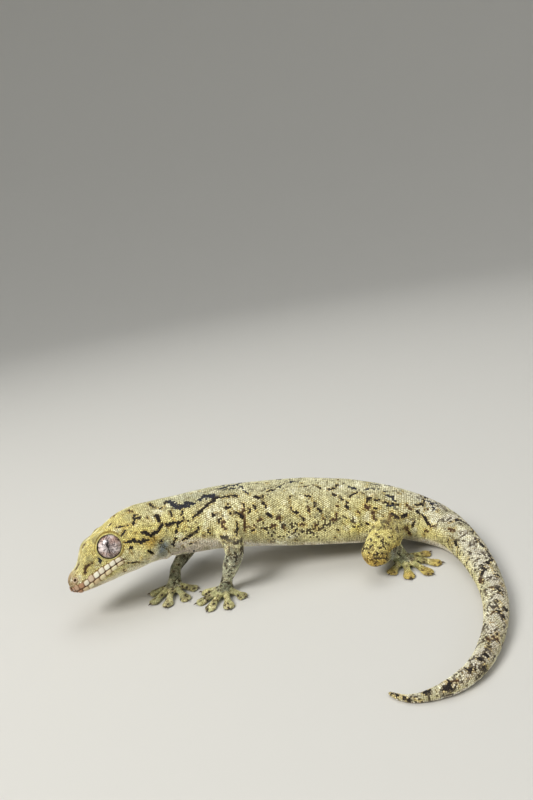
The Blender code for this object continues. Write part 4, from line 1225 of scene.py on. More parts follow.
def coat_colour(forms, points, own, share):
    """Colour of skin or scales at points, each by the form that it lies on, and blended where limbs join."""
    along, across, rise, rows = forms[0].place(points)
    angle = np.degrees(np.arctan2(rise, across))
    colour = trunk_colour(points, along, angle, np.hypot(across, rise))
    colour = opening_colour(colour, points, along, across, rise, rows)
    for number, form in enumerate(forms):
        if form.limb in (None, "head"):
            continue
        some = np.flatnonzero(own == number)
        if not len(some):
            continue
        there = limb_colour(points[some], share[some], form.part, form.limb.split("_")[0])
        reach = (0.50, 1.00) if form.limb.startswith("arm") else (0.20, 0.70)
        blend = smooth(*reach, share[some]) if form.part == "upper" else np.ones(len(some))
        colour[some] = mixed(colour[some], there, blend)
    return colour


def mottle_group():
    """Fine change of colour, gloss and height over a surface, from a noise on the object's own place."""
    group = bpy.data.node_groups.new("fine mottle", "ShaderNodeTree")
    make = group.interface.new_socket
    make("Colour", in_out="INPUT", socket_type="NodeSocketColor")
    make("Grain", in_out="INPUT", socket_type="NodeSocketFloat").default_value = 4000.0
    make("Change", in_out="INPUT", socket_type="NodeSocketFloat").default_value = 0.2
    make("Roughness", in_out="INPUT", socket_type="NodeSocketFloat").default_value = 0.5
    make("Colour", in_out="OUTPUT", socket_type="NodeSocketColor")
    make("Roughness", in_out="OUTPUT", socket_type="NodeSocketFloat")
    make("Height", in_out="OUTPUT", socket_type="NodeSocketFloat")
    nodes, link = group.nodes, group.links.new
    start, end = nodes.new("NodeGroupInput"), nodes.new("NodeGroupOutput")
    place = nodes.new("ShaderNodeTexCoord")
    fine = nodes.new("ShaderNodeTexNoise")
    fine.inputs["Detail"].default_value = 3.0
    link(place.outputs["Object"], fine.inputs["Vector"])
    link(start.outputs["Grain"], fine.inputs["Scale"])
    centred = nodes.new("ShaderNodeMath")
    centred.operation = "SUBTRACT"
    centred.inputs[1].default_value = 0.5
    link(fine.outputs["Fac"], centred.inputs[0])
    amount = nodes.new("ShaderNodeMath")
    amount.operation = "MULTIPLY_ADD"
    amount.inputs[2].default_value = 1.0
    link(centred.outputs[0], amount.inputs[0])
    link(start.outputs["Change"], amount.inputs[1])
    tinted = nodes.new("ShaderNodeVectorMath")
    tinted.operation = "SCALE"
    link(start.outputs["Colour"], tinted.inputs[0])
    link(amount.outputs[0], tinted.inputs["Scale"])
    rough = nodes.new("ShaderNodeMath")
    rough.operation = "MULTIPLY"
    link(start.outputs["Roughness"], rough.inputs[0])
    link(amount.outputs[0], rough.inputs[1])
    link(tinted.outputs[0], end.inputs["Colour"])
    link(rough.outputs[0], end.inputs["Roughness"])
    link(fine.outputs["Fac"], end.inputs["Height"])
    return group


def coat_material(name, roughness, grain, change, bump, sheen=0.0, gloss=0.0):
    """A material that takes its colour from the piece's coat and breaks it up with the shared fine mottle."""
    material = bpy.data.materials.new(name)
    material.use_nodes = True
    nodes, link = material.node_tree.nodes, material.node_tree.links.new
    surface = nodes["Principled BSDF"]
    coat = nodes.new("ShaderNodeAttribute")
    coat.attribute_name = "coat"
    mottle = nodes.new("ShaderNodeGroup")
    mottle.node_tree = bpy.data.node_groups.get("fine mottle") or mottle_group()
    mottle.inputs["Grain"].default_value = grain
    mottle.inputs["Change"].default_value = change
    mottle.inputs["Roughness"].default_value = roughness
    link(coat.outputs["Color"], mottle.inputs["Colour"])
    link(mottle.outputs["Colour"], surface.inputs["Base Color"])
    link(mottle.outputs["Roughness"], surface.inputs["Roughness"])
    raised = nodes.new("ShaderNodeBump")
    raised.inputs["Strength"].default_value = 0.6
    raised.inputs["Distance"].default_value = bump
    link(mottle.outputs["Height"], raised.inputs["Height"])
    link(raised.outputs["Normal"], surface.inputs["Normal"])
    surface.inputs["Sheen Weight"].default_value = sheen
    surface.inputs["Coat Weight"].default_value = gloss
    surface.inputs["Coat Roughness"].default_value = 0.12
    surface.inputs["Specular IOR Level"].default_value = 0.28
    return material


class GECKO_OT_skin(bpy.types.Operator):
    """One closed skin over trunk, tail and limbs, creased and opened at eyes, nostrils, ears and mouth"""
    bl_idname = "gecko.skin"
    bl_label = "Skin"

    def execute(self, context):
        forms = body_forms()
        points, quads, own, share = skin_surface()
        # Painted shade: the skin's colour is darkened where it shows in the gaps between the scales
        colour = linear(coat_colour(forms, points, own, share)) * linear(BETWEEN_SCALES_SHADE)
        material = coat_material("gecko skin", 0.62, 5200.0, 0.35, 0.00006)
        flesh = [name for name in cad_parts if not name.startswith("eye")]
        add_piece("skin", points, [quads], material, flesh, colour)
        return {"FINISHED"}


EYE_RING_COUNT = 40
EYE_TURN_COUNT = 96
# Side of the eye's flat map, where 1 is the radius of the opening
IRIS_MAP_SIDE = 2.4


def eye_material():
    """Silver pink iris with crooked veins, a dark rim of painted shade where the lid meets it, and a jagged
    leaning slit, under a clear gloss.

    All from the eye's own flat map: x across and y up, 1 at the edge of the opening.
    """
    settings = bpy.context.scene.gecko_eyes
    material = bpy.data.materials.new("gecko eye")
    material.use_nodes = True
    nodes, link = material.node_tree.nodes, material.node_tree.links.new
    surface = nodes["Principled BSDF"]

    def math_node(operation, first, second=None, third=None):
        """Sum, product or the like of links and numbers."""
        node = nodes.new("ShaderNodeMath")
        node.operation = operation
        for number, value in enumerate((first, second, third)):
            if value is None:
                continue
            if isinstance(value, (int, float)):
                node.inputs[number].default_value = value
            else:
                link(value, node.inputs[number])
        return node.outputs[0]

    def ramp(value, low, high):
        """Smooth change from 0 at low to 1 at high."""
        node = nodes.new("ShaderNodeMapRange")
        node.interpolation_type = "SMOOTHSTEP"
        node.inputs["From Min"].default_value = low
        node.inputs["From Max"].default_value = high
        link(value, node.inputs["Value"])
        return node.outputs["Result"]

    def blend(share, one, two):
        """Goes from one colour to the other, each a link or a colour of the settings panel."""
        node = nodes.new("ShaderNodeMix")
        node.data_type = "RGBA"
        link(share, node.inputs["Factor"])
        for socket, value in ((node.inputs["A"], one), (node.inputs["B"], two)):
            if isinstance(value, str):
                socket.default_value = (*linear(getattr(settings, value)), 1.0)
            else:
                link(value, socket)
        return node.outputs["Result"]

    def noise_node(scale, detail):
        """A noise of that scale and detail."""
        node = nodes.new("ShaderNodeTexNoise")
        node.inputs["Scale"].default_value = scale
        node.inputs["Detail"].default_value = detail
        return node

    place = nodes.new("ShaderNodeUVMap")
    place.uv_map = "iris"
    apart = nodes.new("ShaderNodeSeparateXYZ")
    link(place.outputs["UV"], apart.inputs[0])
    across, up = (
        math_node("MULTIPLY_ADD", apart.outputs[way], IRIS_MAP_SIDE, -IRIS_MAP_SIDE / 2)
        for way in ("X", "Y"))
    squares = [math_node("MULTIPLY", value, value) for value in (across, up)]
    out = math_node("SQRT", math_node("ADD", *squares))
    shake = noise_node(3.2, 2.0)
    link(place.outputs["UV"], shake.inputs["Vector"])
    turn = math_node("MULTIPLY_ADD", shake.outputs["Fac"], 1.5, math_node("ARCTAN2", up, across))
    spokes = nodes.new("ShaderNodeCombineXYZ")
    link(math_node("MULTIPLY", math_node("COSINE", turn), 2.2), spokes.inputs["X"])
    link(math_node("MULTIPLY", math_node("SINE", turn), 2.2), spokes.inputs["Y"])
    link(math_node("MULTIPLY", out, 0.9), spokes.inputs["Z"])
    web = noise_node(2.6, 3.0)
    link(spokes.outputs[0], web.inputs["Vector"])
    crooked = math_node("ABSOLUTE", math_node("SUBTRACT", web.outputs["Fac"], 0.5))
    vein = ramp(crooked, 0.070, 0.018)
    clouds = noise_node(2.6, 2.0)
    link(place.outputs["UV"], clouds.inputs["Vector"])
    ground = blend(ramp(clouds.outputs["Fac"], 0.40, 0.60), "iris", "iris_shade")
    ground = blend(math_node("MULTIPLY", vein, 0.90), ground, "veins")
    cosine, sine = math.cos(settings.slit_lean), math.sin(settings.slit_lean)
    aside = math_node(
        "ADD", math_node("MULTIPLY", across, cosine), math_node("MULTIPLY", up, sine))
    long = math_node(
        "SUBTRACT", math_node("MULTIPLY", up, cosine), math_node("MULTIPLY", across, sine))
    teeth = noise_node(7.0, 3.0)
    link(place.outputs["UV"], teeth.inputs["Vector"])
    bent = math_node("MULTIPLY_ADD", teeth.outputs["Fac"], 0.70, -0.35)
    away = math_node("ABSOLUTE", math_node("ADD", aside, bent))
    tall = math_node("MULTIPLY", math_node("MULTIPLY", long, long), 0.16)
    shadow = ramp(math_node("ADD", away, math_node("MULTIPLY", tall, 2.0)), 0.42, 0.10)
    ground = blend(math_node("MULTIPLY", shadow, 0.55), ground, "veins")
    pupil = ramp(math_node("ADD", away, tall), 0.13, 0.05)
    ground = blend(pupil, ground, "slit")
    # Painted shade: the iris darkens to the pupil's colour at the edge of the opening, where the lid meets the
    # eyeball
    ground = blend(ramp(out, 0.93, 1.0), ground, "slit")
    link(ground, surface.inputs["Base Color"])
    surface.inputs["Roughness"].default_value = 0.30
    surface.inputs["Coat Weight"].default_value = 1.0
    surface.inputs["Coat Roughness"].default_value = 0.03
    raised = nodes.new("ShaderNodeBump")
    raised.inputs["Strength"].default_value = 0.25
    raised.inputs["Distance"].default_value = 0.00008
    link(web.outputs["Fac"], raised.inputs["Height"])
    link(raised.outputs["Normal"], surface.inputs["Normal"])
    return material


class GECKO_OT_eyes(bpy.types.Operator):
    """The two eyeballs: spheres of rings about the way they look, with the iris painted on a flat map"""
    bl_idname = "gecko.eyes"
    bl_label = "Eyes"

    def execute(self, context):
        settings = context.scene.gecko_eyes
        radius, opening = settings.radius / MM, settings.opening / MM
        material = eye_material()
        polar = np.radians(np.linspace(1.5, 178.5, EYE_RING_COUNT))[:, None]
        turn = round_turns(EYE_TURN_COUNT)
        for side, name in ((1, "eye_left"), (-1, "eye_right")):
            middle, look, rise, forward = eye_axis(side)
            across, up, ahead = np.sin(polar) * np.cos(turn), np.sin(polar) * np.sin(turn), np.cos(polar)
            rings = middle + radius * (
                across[..., None] * forward + up[..., None] * rise + (ahead + 0 * turn)[..., None] * look)
            if side == -1:
                rings = rings[:, ::-1]
            points, quads, ends = closed_rings(rings)
            off = points - middle
            flat = np.stack([off @ forward, off @ rise], axis=1) / opening
            faces = [quads[:, ::-1], ends[:, ::-1]]
            add_piece(name.replace("eye", "eyeball"), points, faces, material, [name],
                      patches={"iris": 0.5 + flat / IRIS_MAP_SIDE})
        return {"FINISHED"}


def spacing(form, along):
    """Spacing of the scales along a form, in millimetres."""
    settings = bpy.context.scene.gecko_scales
    head, body, tail, limb, digit = (
        getattr(settings, key) / MM for key in ("head", "body", "tail", "limb", "digit"))
    if form.limb is None:
        return np.interp(along, (18, 32, 50, 98, 112, 150, 197), (
            head, (head + body) / 2, body, body, tail, tail * 0.86, head * 0.8))
    if form.limb == "head":
        return np.full(len(along), head * 0.92)
    return np.full(len(along), {"upper": limb, "lower": limb * 0.96}.get(form.part, digit))


def scale_roots(form, chance):
    """Places of scales on a form, in rings set a row's height apart along the surface.

    A ring holds its length over the spacing, or as many as the ring before where that is close, and starts
    half a scale on from it, so that the scales stand in slanting rows. Each is moved a little by chance.
    """
    start, end = form.ends()
    rows = int((end - start) / 0.1) + 2
    along = np.linspace(start, end, rows)
    turn = np.linspace(0, 2 * math.pi, 97)
    rings = form.surface(along[:, None], turn[None, :])
    round_it = np.linalg.norm(np.diff(rings, axis=1), axis=2)
    onward = np.linalg.norm(np.diff(rings, axis=0), axis=2).mean(axis=1)
    pitch = spacing(form, (along[:-1] + along[1:]) / 2)
    count = np.concatenate([[0.0], np.cumsum(onward / (0.88 * pitch))])
    place = np.interp(np.arange(int(count[-1])) + 0.5, count, along)
    length = np.interp(place, along, round_it.sum(axis=1))
    wanted = np.maximum(np.rint(length / spacing(form, place)), 3).astype(int)
    held = wanted.copy()
    for k in range(1, len(held)):
        if abs(wanted[k] - held[k - 1]) <= 0.03 * held[k - 1]:
            held[k] = held[k - 1]
    ring = np.repeat(np.arange(len(held)), held)
    step = np.arange(len(ring)) - np.repeat(np.cumsum(held) - held, held)
    share = (step + 0.5 * (ring % 2) + chance.normal(0, 0.07, len(ring))) / held[ring]
    place = np.clip(place[ring] + chance.normal(0, 0.04, len(ring)), start, end)
    row = np.clip(np.rint((place - start) / (end - start) * (rows - 1)).astype(int), 0, rows - 1)
    arc = np.concatenate([np.zeros((rows, 1)), np.cumsum(round_it, axis=1)], axis=1)
    arc = arc / np.maximum(arc[:, -1:], 1e-6) * 0.9999 + np.arange(rows)[:, None]
    turns = np.interp(row + share % 1.0 * 0.9999, arc.ravel(), np.tile(turn, rows))
    column = np.rint(turns / (2 * math.pi) * 96).astype(int)
    grown = np.linalg.norm(np.diff(rings, axis=0), axis=2) / onward[:, None]
    stretch = grown[np.minimum(row, rows - 2), column]
    return place, turns, spacing(form, place), np.clip(stretch, 0.75, 1.35)


def lip_heights(along):
    """Height of the mouth line, and of the lip plates above and below it, at distances from the snout."""
    upper, lower = LIP_PLATE_HEIGHT
    fade = 1 - 0.35 * smooth(9, 16, along)
    return mouth_height(along), upper * fade, lower * fade


def bare_places(forms, points, own, normals):
    """Where no scale grows: eyes, lip plates, nostrils, ears, and soles or belly on the ground."""
    along, across, rise, rows = forms[0].place(points)
    height = rise + rows[:, 15]
    line, upper, lower = lip_heights(along)
    head = np.array([form.limb in (None, "head") for form in forms])[own]
    bare = head & (along < LIP_PLATES_TO) & (height < line + upper) & (height > line - lower)
    bare |= head & (along < LIP_PLATES_TO + 1.2) & (np.abs(height - line) < 0.2)
    for side in (1, -1):
        ahead, aside = from_eye(points, side)
        bare |= head & (aside < EYE_RIM_RADIUS + 0.50) & (ahead > 0)
        bare |= head & (away_from(points, nostril_frame(side)[0]) < 0.80)
        bare |= head & (ear_oval(points, side, 1.3, 0.50) < 1)
    return bare | ((points[:, 2] < 0.35) & (normals[:, 2] < -0.35))


def scale_shells(roots, normals, lies, pitch, colours, places, stretch=1.0):
    """Closed scales on their roots: rings of six corners whose height goes from front to back, and a top.

    A corner is the root plus lie times x, plus side times y, plus normal times height. Gives points, faces,
    colours and their places on the flat map.
    """
    settings = bpy.context.scene.gecko_scales
    turn = 2 * math.pi * (np.arange(SCALE_CORNERS) + 0.5) / SCALE_CORNERS
    x = np.concatenate([share * np.cos(turn) for share, _, _ in SCALE_RINGS] + [[SCALE_TOP[0]]])
    y = np.concatenate([share * np.sin(turn) for share, _, _ in SCALE_RINGS] + [[0.0]])
    rising = [front + (back - front) * (share * np.cos(turn) + 1) / 2 for share, front, back in SCALE_RINGS]
    z = np.concatenate(rising + [[SCALE_TOP[1]]])
    # The rings' tints are painted shade low on each scale and painted highlight at its top
    ring_shades = [np.tile(tint, (SCALE_CORNERS, 1)) for tint in SCALE_PAINTED_SHADING[:-1]]
    shade = linear(np.vstack(ring_shades + [SCALE_PAINTED_SHADING[-1]]))
    half = (pitch * settings.overlap)[:, None]
    long = half * np.broadcast_to(stretch, len(roots))[:, None]
    side = np.cross(normals, lies)
    points = roots[:, None] + lies[:, None] * (long * x)[..., None]
    points = points + side[:, None] * (half * 0.96 * y)[..., None]
    points = points + normals[:, None] * ((pitch * settings.height)[:, None] * z)[..., None]
    each = len(x)
    start = np.arange(len(roots))[:, None, None] * each
    ring = np.arange(SCALE_CORNERS * len(SCALE_RINGS)).reshape(-1, SCALE_CORNERS)
    near, far = ring[:-1], ring[1:]
    band = np.stack([near, np.roll(near, -1, 1), np.roll(far, -1, 1), far], axis=-1).reshape(-1, 4)
    top = np.stack([ring[-1], np.roll(ring[-1], -1), np.full(SCALE_CORNERS, each - 1)], axis=-1)
    faces = [(table[None] + start).reshape(-1, table.shape[1]) for table in (band, top, ring[:1, ::-1])]
    flat = places[:, None] + BAKE_PATCH / 2 * np.stack([x, y], axis=-1)[None]
    return (points.reshape(-1, 3), faces, (colours[:, None] * shade[None]).reshape(-1, 3),
            flat.reshape(-1, 2))


# Pieces of the scales along the trunk: name, from, to
COAT_LENGTHS = (
    ("coat_head", -1.0, 28.0), ("coat_neck", 28.0, 46.0), ("coat_front", 46.0, 66.0),
    ("coat_middle", 66.0, 86.0), ("coat_rear", 86.0, 106.0), ("coat_tail", 106.0, 140.0),
    ("coat_tail_tip", 140.0, 198.0),
)


def skin_finder():
    """The finished skin's tree for nearest places, with its softened normals at each of its faces."""
    points, quads, edges = quad_mesh(bpy.data.objects["skin"].data)
    points = from_row(points)
    normals = relaxed(point_normals(points, quads), edges, np.full(len(points), 0.8), 3)
    return BVHTree.FromPolygons(points.tolist(), quads.tolist()), unit(normals[quads].mean(axis=1))


def on_skin(finder, points):
    """Nearest places on the skin, with the skin's normals there."""
    tree, normals = finder
    found = [tree.find_nearest(point) for point in points.tolist()]
    return np.array([place for place, _, _, _ in found]), normals[[face for _, _, face, _ in found]]


def laid(way, normals):
    """A direction laid into the surface: less its part along the normal."""
    return unit(way - normals * (way * normals).sum(axis=1, keepdims=True))


class GECKO_OT_scales(bpy.types.Operator):
    """Solid scales over the whole skin, each lying towards the tail or a toe's tip, in joined pieces"""
    bl_idname = "gecko.scales"
    bl_label = "Scales"

    def execute(self, context):
        forms = body_forms()
        finder = skin_finder()
        chance = np.random.default_rng(7)
        material = coat_material("gecko scales", 0.50, 9000.0, 0.22, 0.00003, sheen=0.08, gloss=0.06)
        pieces = {}
        for number, form in enumerate(forms):
            place, turns, pitch, stretch = scale_roots(form, chance)
            roots, normals = on_skin(finder, form.surface(place, turns))
            own, share, _ = nearest_form(forms, roots)
            keep = (own == number) & ~bare_places(forms, roots, own, normals)
            crowd = np.unique(np.floor(roots / 0.30).astype(int), axis=0, return_index=True)[1]
            lone = np.zeros(len(roots), bool)
            lone[crowd] = True
            keep &= lone
            roots, normals, own, share = roots[keep], normals[keep], own[keep], share[keep]
            place, turns, pitch, stretch = place[keep], turns[keep], pitch[keep], stretch[keep]
            along, across, rise, rows = forms[0].place(roots)
            if form.limb in (None, "head"):
                way = rows[:, 3:6]
                start = np.array([near for _, near, _ in COAT_LENGTHS])
                end = np.array([far for _, _, far in COAT_LENGTHS])
                which = np.maximum(np.searchsorted(start, along, side="right") - 1, 0)
                names = np.array([name for name, _, _ in COAT_LENGTHS])[which]
                flat = np.stack([0.02 + 0.96 * (turns / (2 * math.pi)) % 1.0,
                                 0.02 + 0.96 * (along - start[which]) / (end - start)[which]], axis=1)
                if form.limb == "head":
                    flat[:, 0] = 0.02 + 0.96 * ((turn_of(across, rise, rows) / (2 * math.pi)) % 1.0)
            else:
                names = np.full(len(roots), f"coat_{form.limb}")
                way = np.broadcast_to(form.heading, roots.shape)
                cell = [other.part for other in forms if other.limb == form.limb].index(form.part)
                corner = np.array((cell % 3, cell // 3)) / 3
                shares = np.stack([turns / (2 * math.pi), place / form.ends()[1]], axis=1)
                flat = corner + 0.015 + 0.30 * shares
            lies = laid(way, normals)
            yaw = np.radians(chance.normal(0, 5, len(roots)))[:, None]
            lies = lies * np.cos(yaw) + np.cross(normals, lies) * np.sin(yaw)
            sizes = pitch * chance.normal(1, 0.06, len(roots)).clip(0.85, 1.15)
            colour = coat_colour(forms, roots, own, share)
            colour = linear(np.clip(colour * chance.normal(1.0, 0.06, len(roots))[:, None], 0, 1))
            for name in np.unique(names):
                some = names == name
                shell = scale_shells(*(
                    values[some] for values in (roots, normals, lies, sizes, colour, flat, stretch)))
                pieces.setdefault(str(name), []).append(shell)
        for name, shells in pieces.items():
            points, faces, colours, places = [], [[], [], []], [], []
            start = 0
            for shell_points, shell_faces, shell_colours, shell_places in shells:
                points.append(shell_points)
                for table, more in zip(faces, shell_faces):
                    table.append(more + start)
                colours.append(shell_colours)
                places.append(shell_places)
                start += len(shell_points)
            add_piece(name, np.vstack(points), [np.vstack(table) for table in faces], material,
                      colours=np.vstack(colours), patches={"OFBake": np.vstack(places)})
        return {"FINISHED"}


def side_turn(along, height, side):
    """The section's turn on one side of the head for a height over the middle line."""
    rows = trunk_rows(along)
    top, bottom, belt, power = (rows[..., k] for k in (13, 14, 15, 16))
    rise = height - belt
    share = np.clip(rise / np.where(rise > 0, top - belt, bottom + belt), -0.98, 0.98)
    turn = np.arcsin(signed_power(share, power / 2))
    return turn if side == 1 else math.pi - turn


PLATE_RINGS = np.array([(0.12, 1.0), (0.40, 0.98), (0.66, 0.88), (0.84, 0.62), (0.95, 0.25), (1.0, -0.35)])


def plate(trunk, side, along, height, half_long, half_high, thick, sway=0.0):
    """A cushion-shaped scale on the side of the head: rings grow from its middle to a rounded rectangle's
    edge, and their height over the skin falls from the middle to the sunken edge.
    """
    turn = round_turns(24)
    if side == -1:
        turn = turn[:, ::-1]
    grow, lift = PLATE_RINGS[:, 0:1], PLATE_RINGS[:, 1:2]
    u = grow * signed_power(np.cos(turn), 0.55)
    v = grow * signed_power(np.sin(turn), 0.55)
    place = along + half_long * u + sway * v
    rise = height(place) + half_high * v
    points = trunk.surface(place, side_turn(place, rise, side), lift * thick + 0 * turn)
    return closed_rings(points), np.concatenate([(grow + 0 * turn).ravel(), (0.0, 1.0)])


def coat_of(colour, edge, edge_colour):
    """A plate's colours: its own in the middle, going over to the edge's."""
    return mixed(np.broadcast_to(colour, (len(edge), 3)), edge_colour, smooth(0.74, 1.0, edge) * 0.7)


def lip_ends(trunk, side, count):
    """Ends of the plates along one lip, spaced alike along the mouth line over the surface."""
    place = np.linspace(LIP_PLATES_FROM, LIP_PLATES_TO, 200)
    points = trunk.surface(place, side_turn(place, mouth_height(place), side))
    run = run_lengths(points)
    return np.interp(np.linspace(0, run[-1], count + 1), run, place)


def joined_coats(shells):
    """Closed shells with colours as one set."""
    points, quads, ends = joined([shell for shell, _ in shells])
    return points, quads, ends, np.vstack([colours for _, colours in shells])


def snout_front(across, height):
    """Distance from the snout's tip at which the section first holds a place across and up."""
    stations = np.linspace(0, 3.0, 61)
    rows = trunk_rows(stations)
    width, top, bottom, belt, power = rows[:, 12:].T
    rise = height[..., None] - belt
    tall = np.where(rise > 0, top - belt, bottom + belt)
    filled = np.abs(across[..., None] / width) ** power + np.abs(rise / tall) ** power <= 1
    return np.where(filled.any(axis=-1), stations[filled.argmax(axis=-1)], 3.0)


def front_plate(middle_height, half_wide, half_high, thick):
    """A plate across the snout's tip: a rounded rectangle laid on the front, curled back at its sides."""
    turn = round_turns(28)
    grow, lift = PLATE_RINGS[:, 0:1], PLATE_RINGS[:, 1:2]
    across = half_wide * grow * signed_power(np.cos(turn), 0.6)
    height = middle_height + half_high * grow * signed_power(np.sin(turn), 0.6) + 0.10 * np.abs(across)
    along = snout_front(across, height)
    row = trunk_rows(np.zeros(1))[0]
    along = along - SNOUT_CAP * np.clip(1 - along / 0.7, 0, 1) - lift * thick
    points = row[:3] + row[6:9] * across[..., None] + row[9:12] * height[..., None]
    points = points + row[3:6] * along[..., None]
    return closed_rings(points), np.concatenate([(grow + 0 * turn).ravel(), (0.0, 1.0)])


class GECKO_OT_lips(bpy.types.Operator):
    """Cream plates along both lips, and the two across the tip of the snout"""
    bl_idname = "gecko.lips"
    bl_label = "Lip Plates"

    def execute(self, context):
        trunk = Trunk()
        chance = np.random.default_rng(11)
        shells = []
        for side in (1, -1):
            for up, tones in zip((1, -1), LIP_TONES):
                ends = lip_ends(trunk, side, len(tones))
                for near, far, tone in zip(ends, ends[1:], tones):
                    middle = (near + far) / 2
                    high = lip_heights(np.array(middle))[1 if up == 1 else 2] * chance.uniform(0.84, 1.04)
                    off = up * (high / 2 + 0.07)
                    shell, edge = plate(
                        trunk, side, middle, lambda place, off=off: mouth_height(place) + off,
                        (far - near) * 0.49, high / 2, 0.20 if up == 1 else 0.28, sway=0.10)
                    cream = paint("lip") if up == 1 else mixed(paint("lip"), paint("yellow"), 0.30)
                    cream = mixed(cream * chance.uniform(0.94, 1.0), paint("lip_edge"), tone)
                    darker = mixed(cream, paint("lip_edge"), 0.6) * 0.9
                    shells.append((shell, linear(coat_of(cream, edge, darker))))
        for middle, wide, high, shade in ((-0.72, 1.6, 0.66, 0.55), (-2.0, 1.4, 0.50, 0.60)):
            shell, edge = front_plate(middle, wide, high, 0.22)
            cream = mixed(paint("lip"), paint("lip_edge"), shade)
            shells.append((shell, linear(coat_of(cream, edge, paint("lip_edge") * 0.8))))
        points, quads, ends, colours = joined_coats(shells)
        material = coat_material("gecko lips", 0.38, 6000.0, 0.18, 0.00003, gloss=0.15)
        add_piece("lips", points, [quads, ends], material, colours=colours)
        return {"FINISHED"}


def ring_shell(middle, one, two, out, radius, half_thick, turns, sides, waves):
    """A closed ring: a small circle carried round a larger one, swelling in waves like joined grains."""
    big, small = round_turns(turns).T, round_turns(sides)
    thick = half_thick * (1 + 0.16 * np.cos(waves * big))
    away = radius + thick * np.cos(small)
    points = (middle + (away * np.cos(big))[..., None] * one + (away * np.sin(big))[..., None] * two
              + (thick * np.sin(small) + 0 * big)[..., None] * out)
    ring = np.arange(turns * sides).reshape(turns, sides)
    quads = bands(ring, np.roll(ring, -1, 0))
    if np.cross(one, two) @ out < 0:
        quads = quads[:, ::-1]
    return points.reshape(-1, 3), quads, np.empty((0, 3), int)


class GECKO_OT_openings(bpy.types.Operator):
    """Pale rims round the eyes with a ring of granules, and small rims round the nostrils"""
    bl_idname = "gecko.openings"
    bl_label = "Eye And Nostril Rims"

    def execute(self, context):
        chance = np.random.default_rng(19)
        finder = skin_finder()
        shells, roots, normals, lies, sizes, colours = [], [], [], [], [], []
        for side in (1, -1):
            middle, look, rise, forward = eye_axis(side)
            base = middle + look * (EYE_RIM_OUT - 0.34)
            shell = ring_shell(base, forward, rise, look, EYE_RIM_RADIUS - 0.12, 0.18, 120, 10, 40)
            inner = from_eye(shell[0], side)[1]
            # Painted shade: the rim's inner side darkens to ink where it meets the eyeball
            rim_inner_shade = smooth(EYE_RIM_RADIUS - 0.16, EYE_RIM_RADIUS - 0.26, inner)
            tone = paint("rim") * (0.7 + 0.4 * noise(shell[0], 0.8, 71))[:, None]
            shells.append((shell, linear(np.clip(mixed(tone, paint("ink"), rim_inner_shade), 0, 1))))
            turn = round_turns(58)[0]
            out = np.cos(turn)[:, None] * forward + np.sin(turn)[:, None] * rise
            places = middle + out * (EYE_RIM_RADIUS + 0.24) + look * (EYE_RIM_OUT - 0.5)
            root, normal = on_skin(finder, places)
            roots.append(root)
            normals.append(normal)
            lies.append(laid(out, normal))
            sizes.append(np.full(len(turn), 0.46))
            tone = np.where(np.sin(turn)[:, None] > 0.2, paint("yellow"), paint("rim"))
            colours.append(tone * chance.uniform(0.78, 1.0, (len(turn), 1)))
            nose, open_way = nostril_frame(side)
            one = unit(np.cross(open_way, (0.0, 0.0, 1.0)))
            two = np.cross(open_way, one)
            shell = ring_shell(nose - open_way * 0.05, one, two, open_way, 0.62, 0.20, 24, 8, 7)
            tone = mixed(paint("snout"), paint("pale"), 0.35)
            shells.append((shell, linear(np.broadcast_to(tone, (len(shell[0]), 3)))))
        points, quads, _, tones = joined_coats(shells)
        material = coat_material("gecko rims", 0.42, 8000.0, 0.20, 0.00003, gloss=0.10)
        add_piece("opening_rims", points, [quads], material, colours=tones)
        whole = scale_shells(*(np.concatenate(part) for part in (roots, normals, lies, sizes)),
                             linear(np.concatenate(colours)), np.zeros((sum(map(len, roots)), 2)))
        add_piece("eye_granules", whole[0], whole[1], material, colours=whole[2])
        return {"FINISHED"}


class GECKO_OT_claws(bpy.types.Operator):
    """Twenty small claws: a circle carried along a bent path, shrinking to the tip"""
    bl_idname = "gecko.claws"
    bl_label = "Claws"

    def execute(self, context):
        shells = []
        turn = round_turns(10)
        step = np.linspace(0, 1, 9)[:, None]
        for limb, (_, _, _, palm) in LIMBS.items():
            for heading, reach in DIGITS[limb]:
                ahead = level_way(heading)
                side = np.cross(ahead, (0.0, 0.0, 1.0))
                base = np.array((palm[0], palm[1], 0.0)) + ahead * (reach - 0.5)
                radius = 0.25 * (1 - step ** 1.6) + 0.02
                away = step * (CLAW_LENGTH + 0.4)
                up = 0.55 + 0.42 * np.sin(math.pi * 0.62 * step) - 0.42 * step
                points = base + away[..., None] * ahead + (radius * 0.7 * np.cos(turn))[..., None] * side
                points[..., 2] += up + radius * np.sin(turn)
                shells.append(closed_rings(points[:, ::-1]))
        points, quads, ends = joined(shells)
        tip = np.tile(np.concatenate([np.repeat(step[:, 0], 10), (0.0, 1.0)]), len(shells))
        colour = mixed(np.broadcast_to(paint("claw"), (len(tip), 3)), paint("ink"), tip * 0.6)
        material = coat_material("gecko claws", 0.30, 12000.0, 0.15, 0.00002, gloss=0.3)
        add_piece("claws", points, [quads, ends], material, colours=linear(colour))
        return {"FINISHED"}


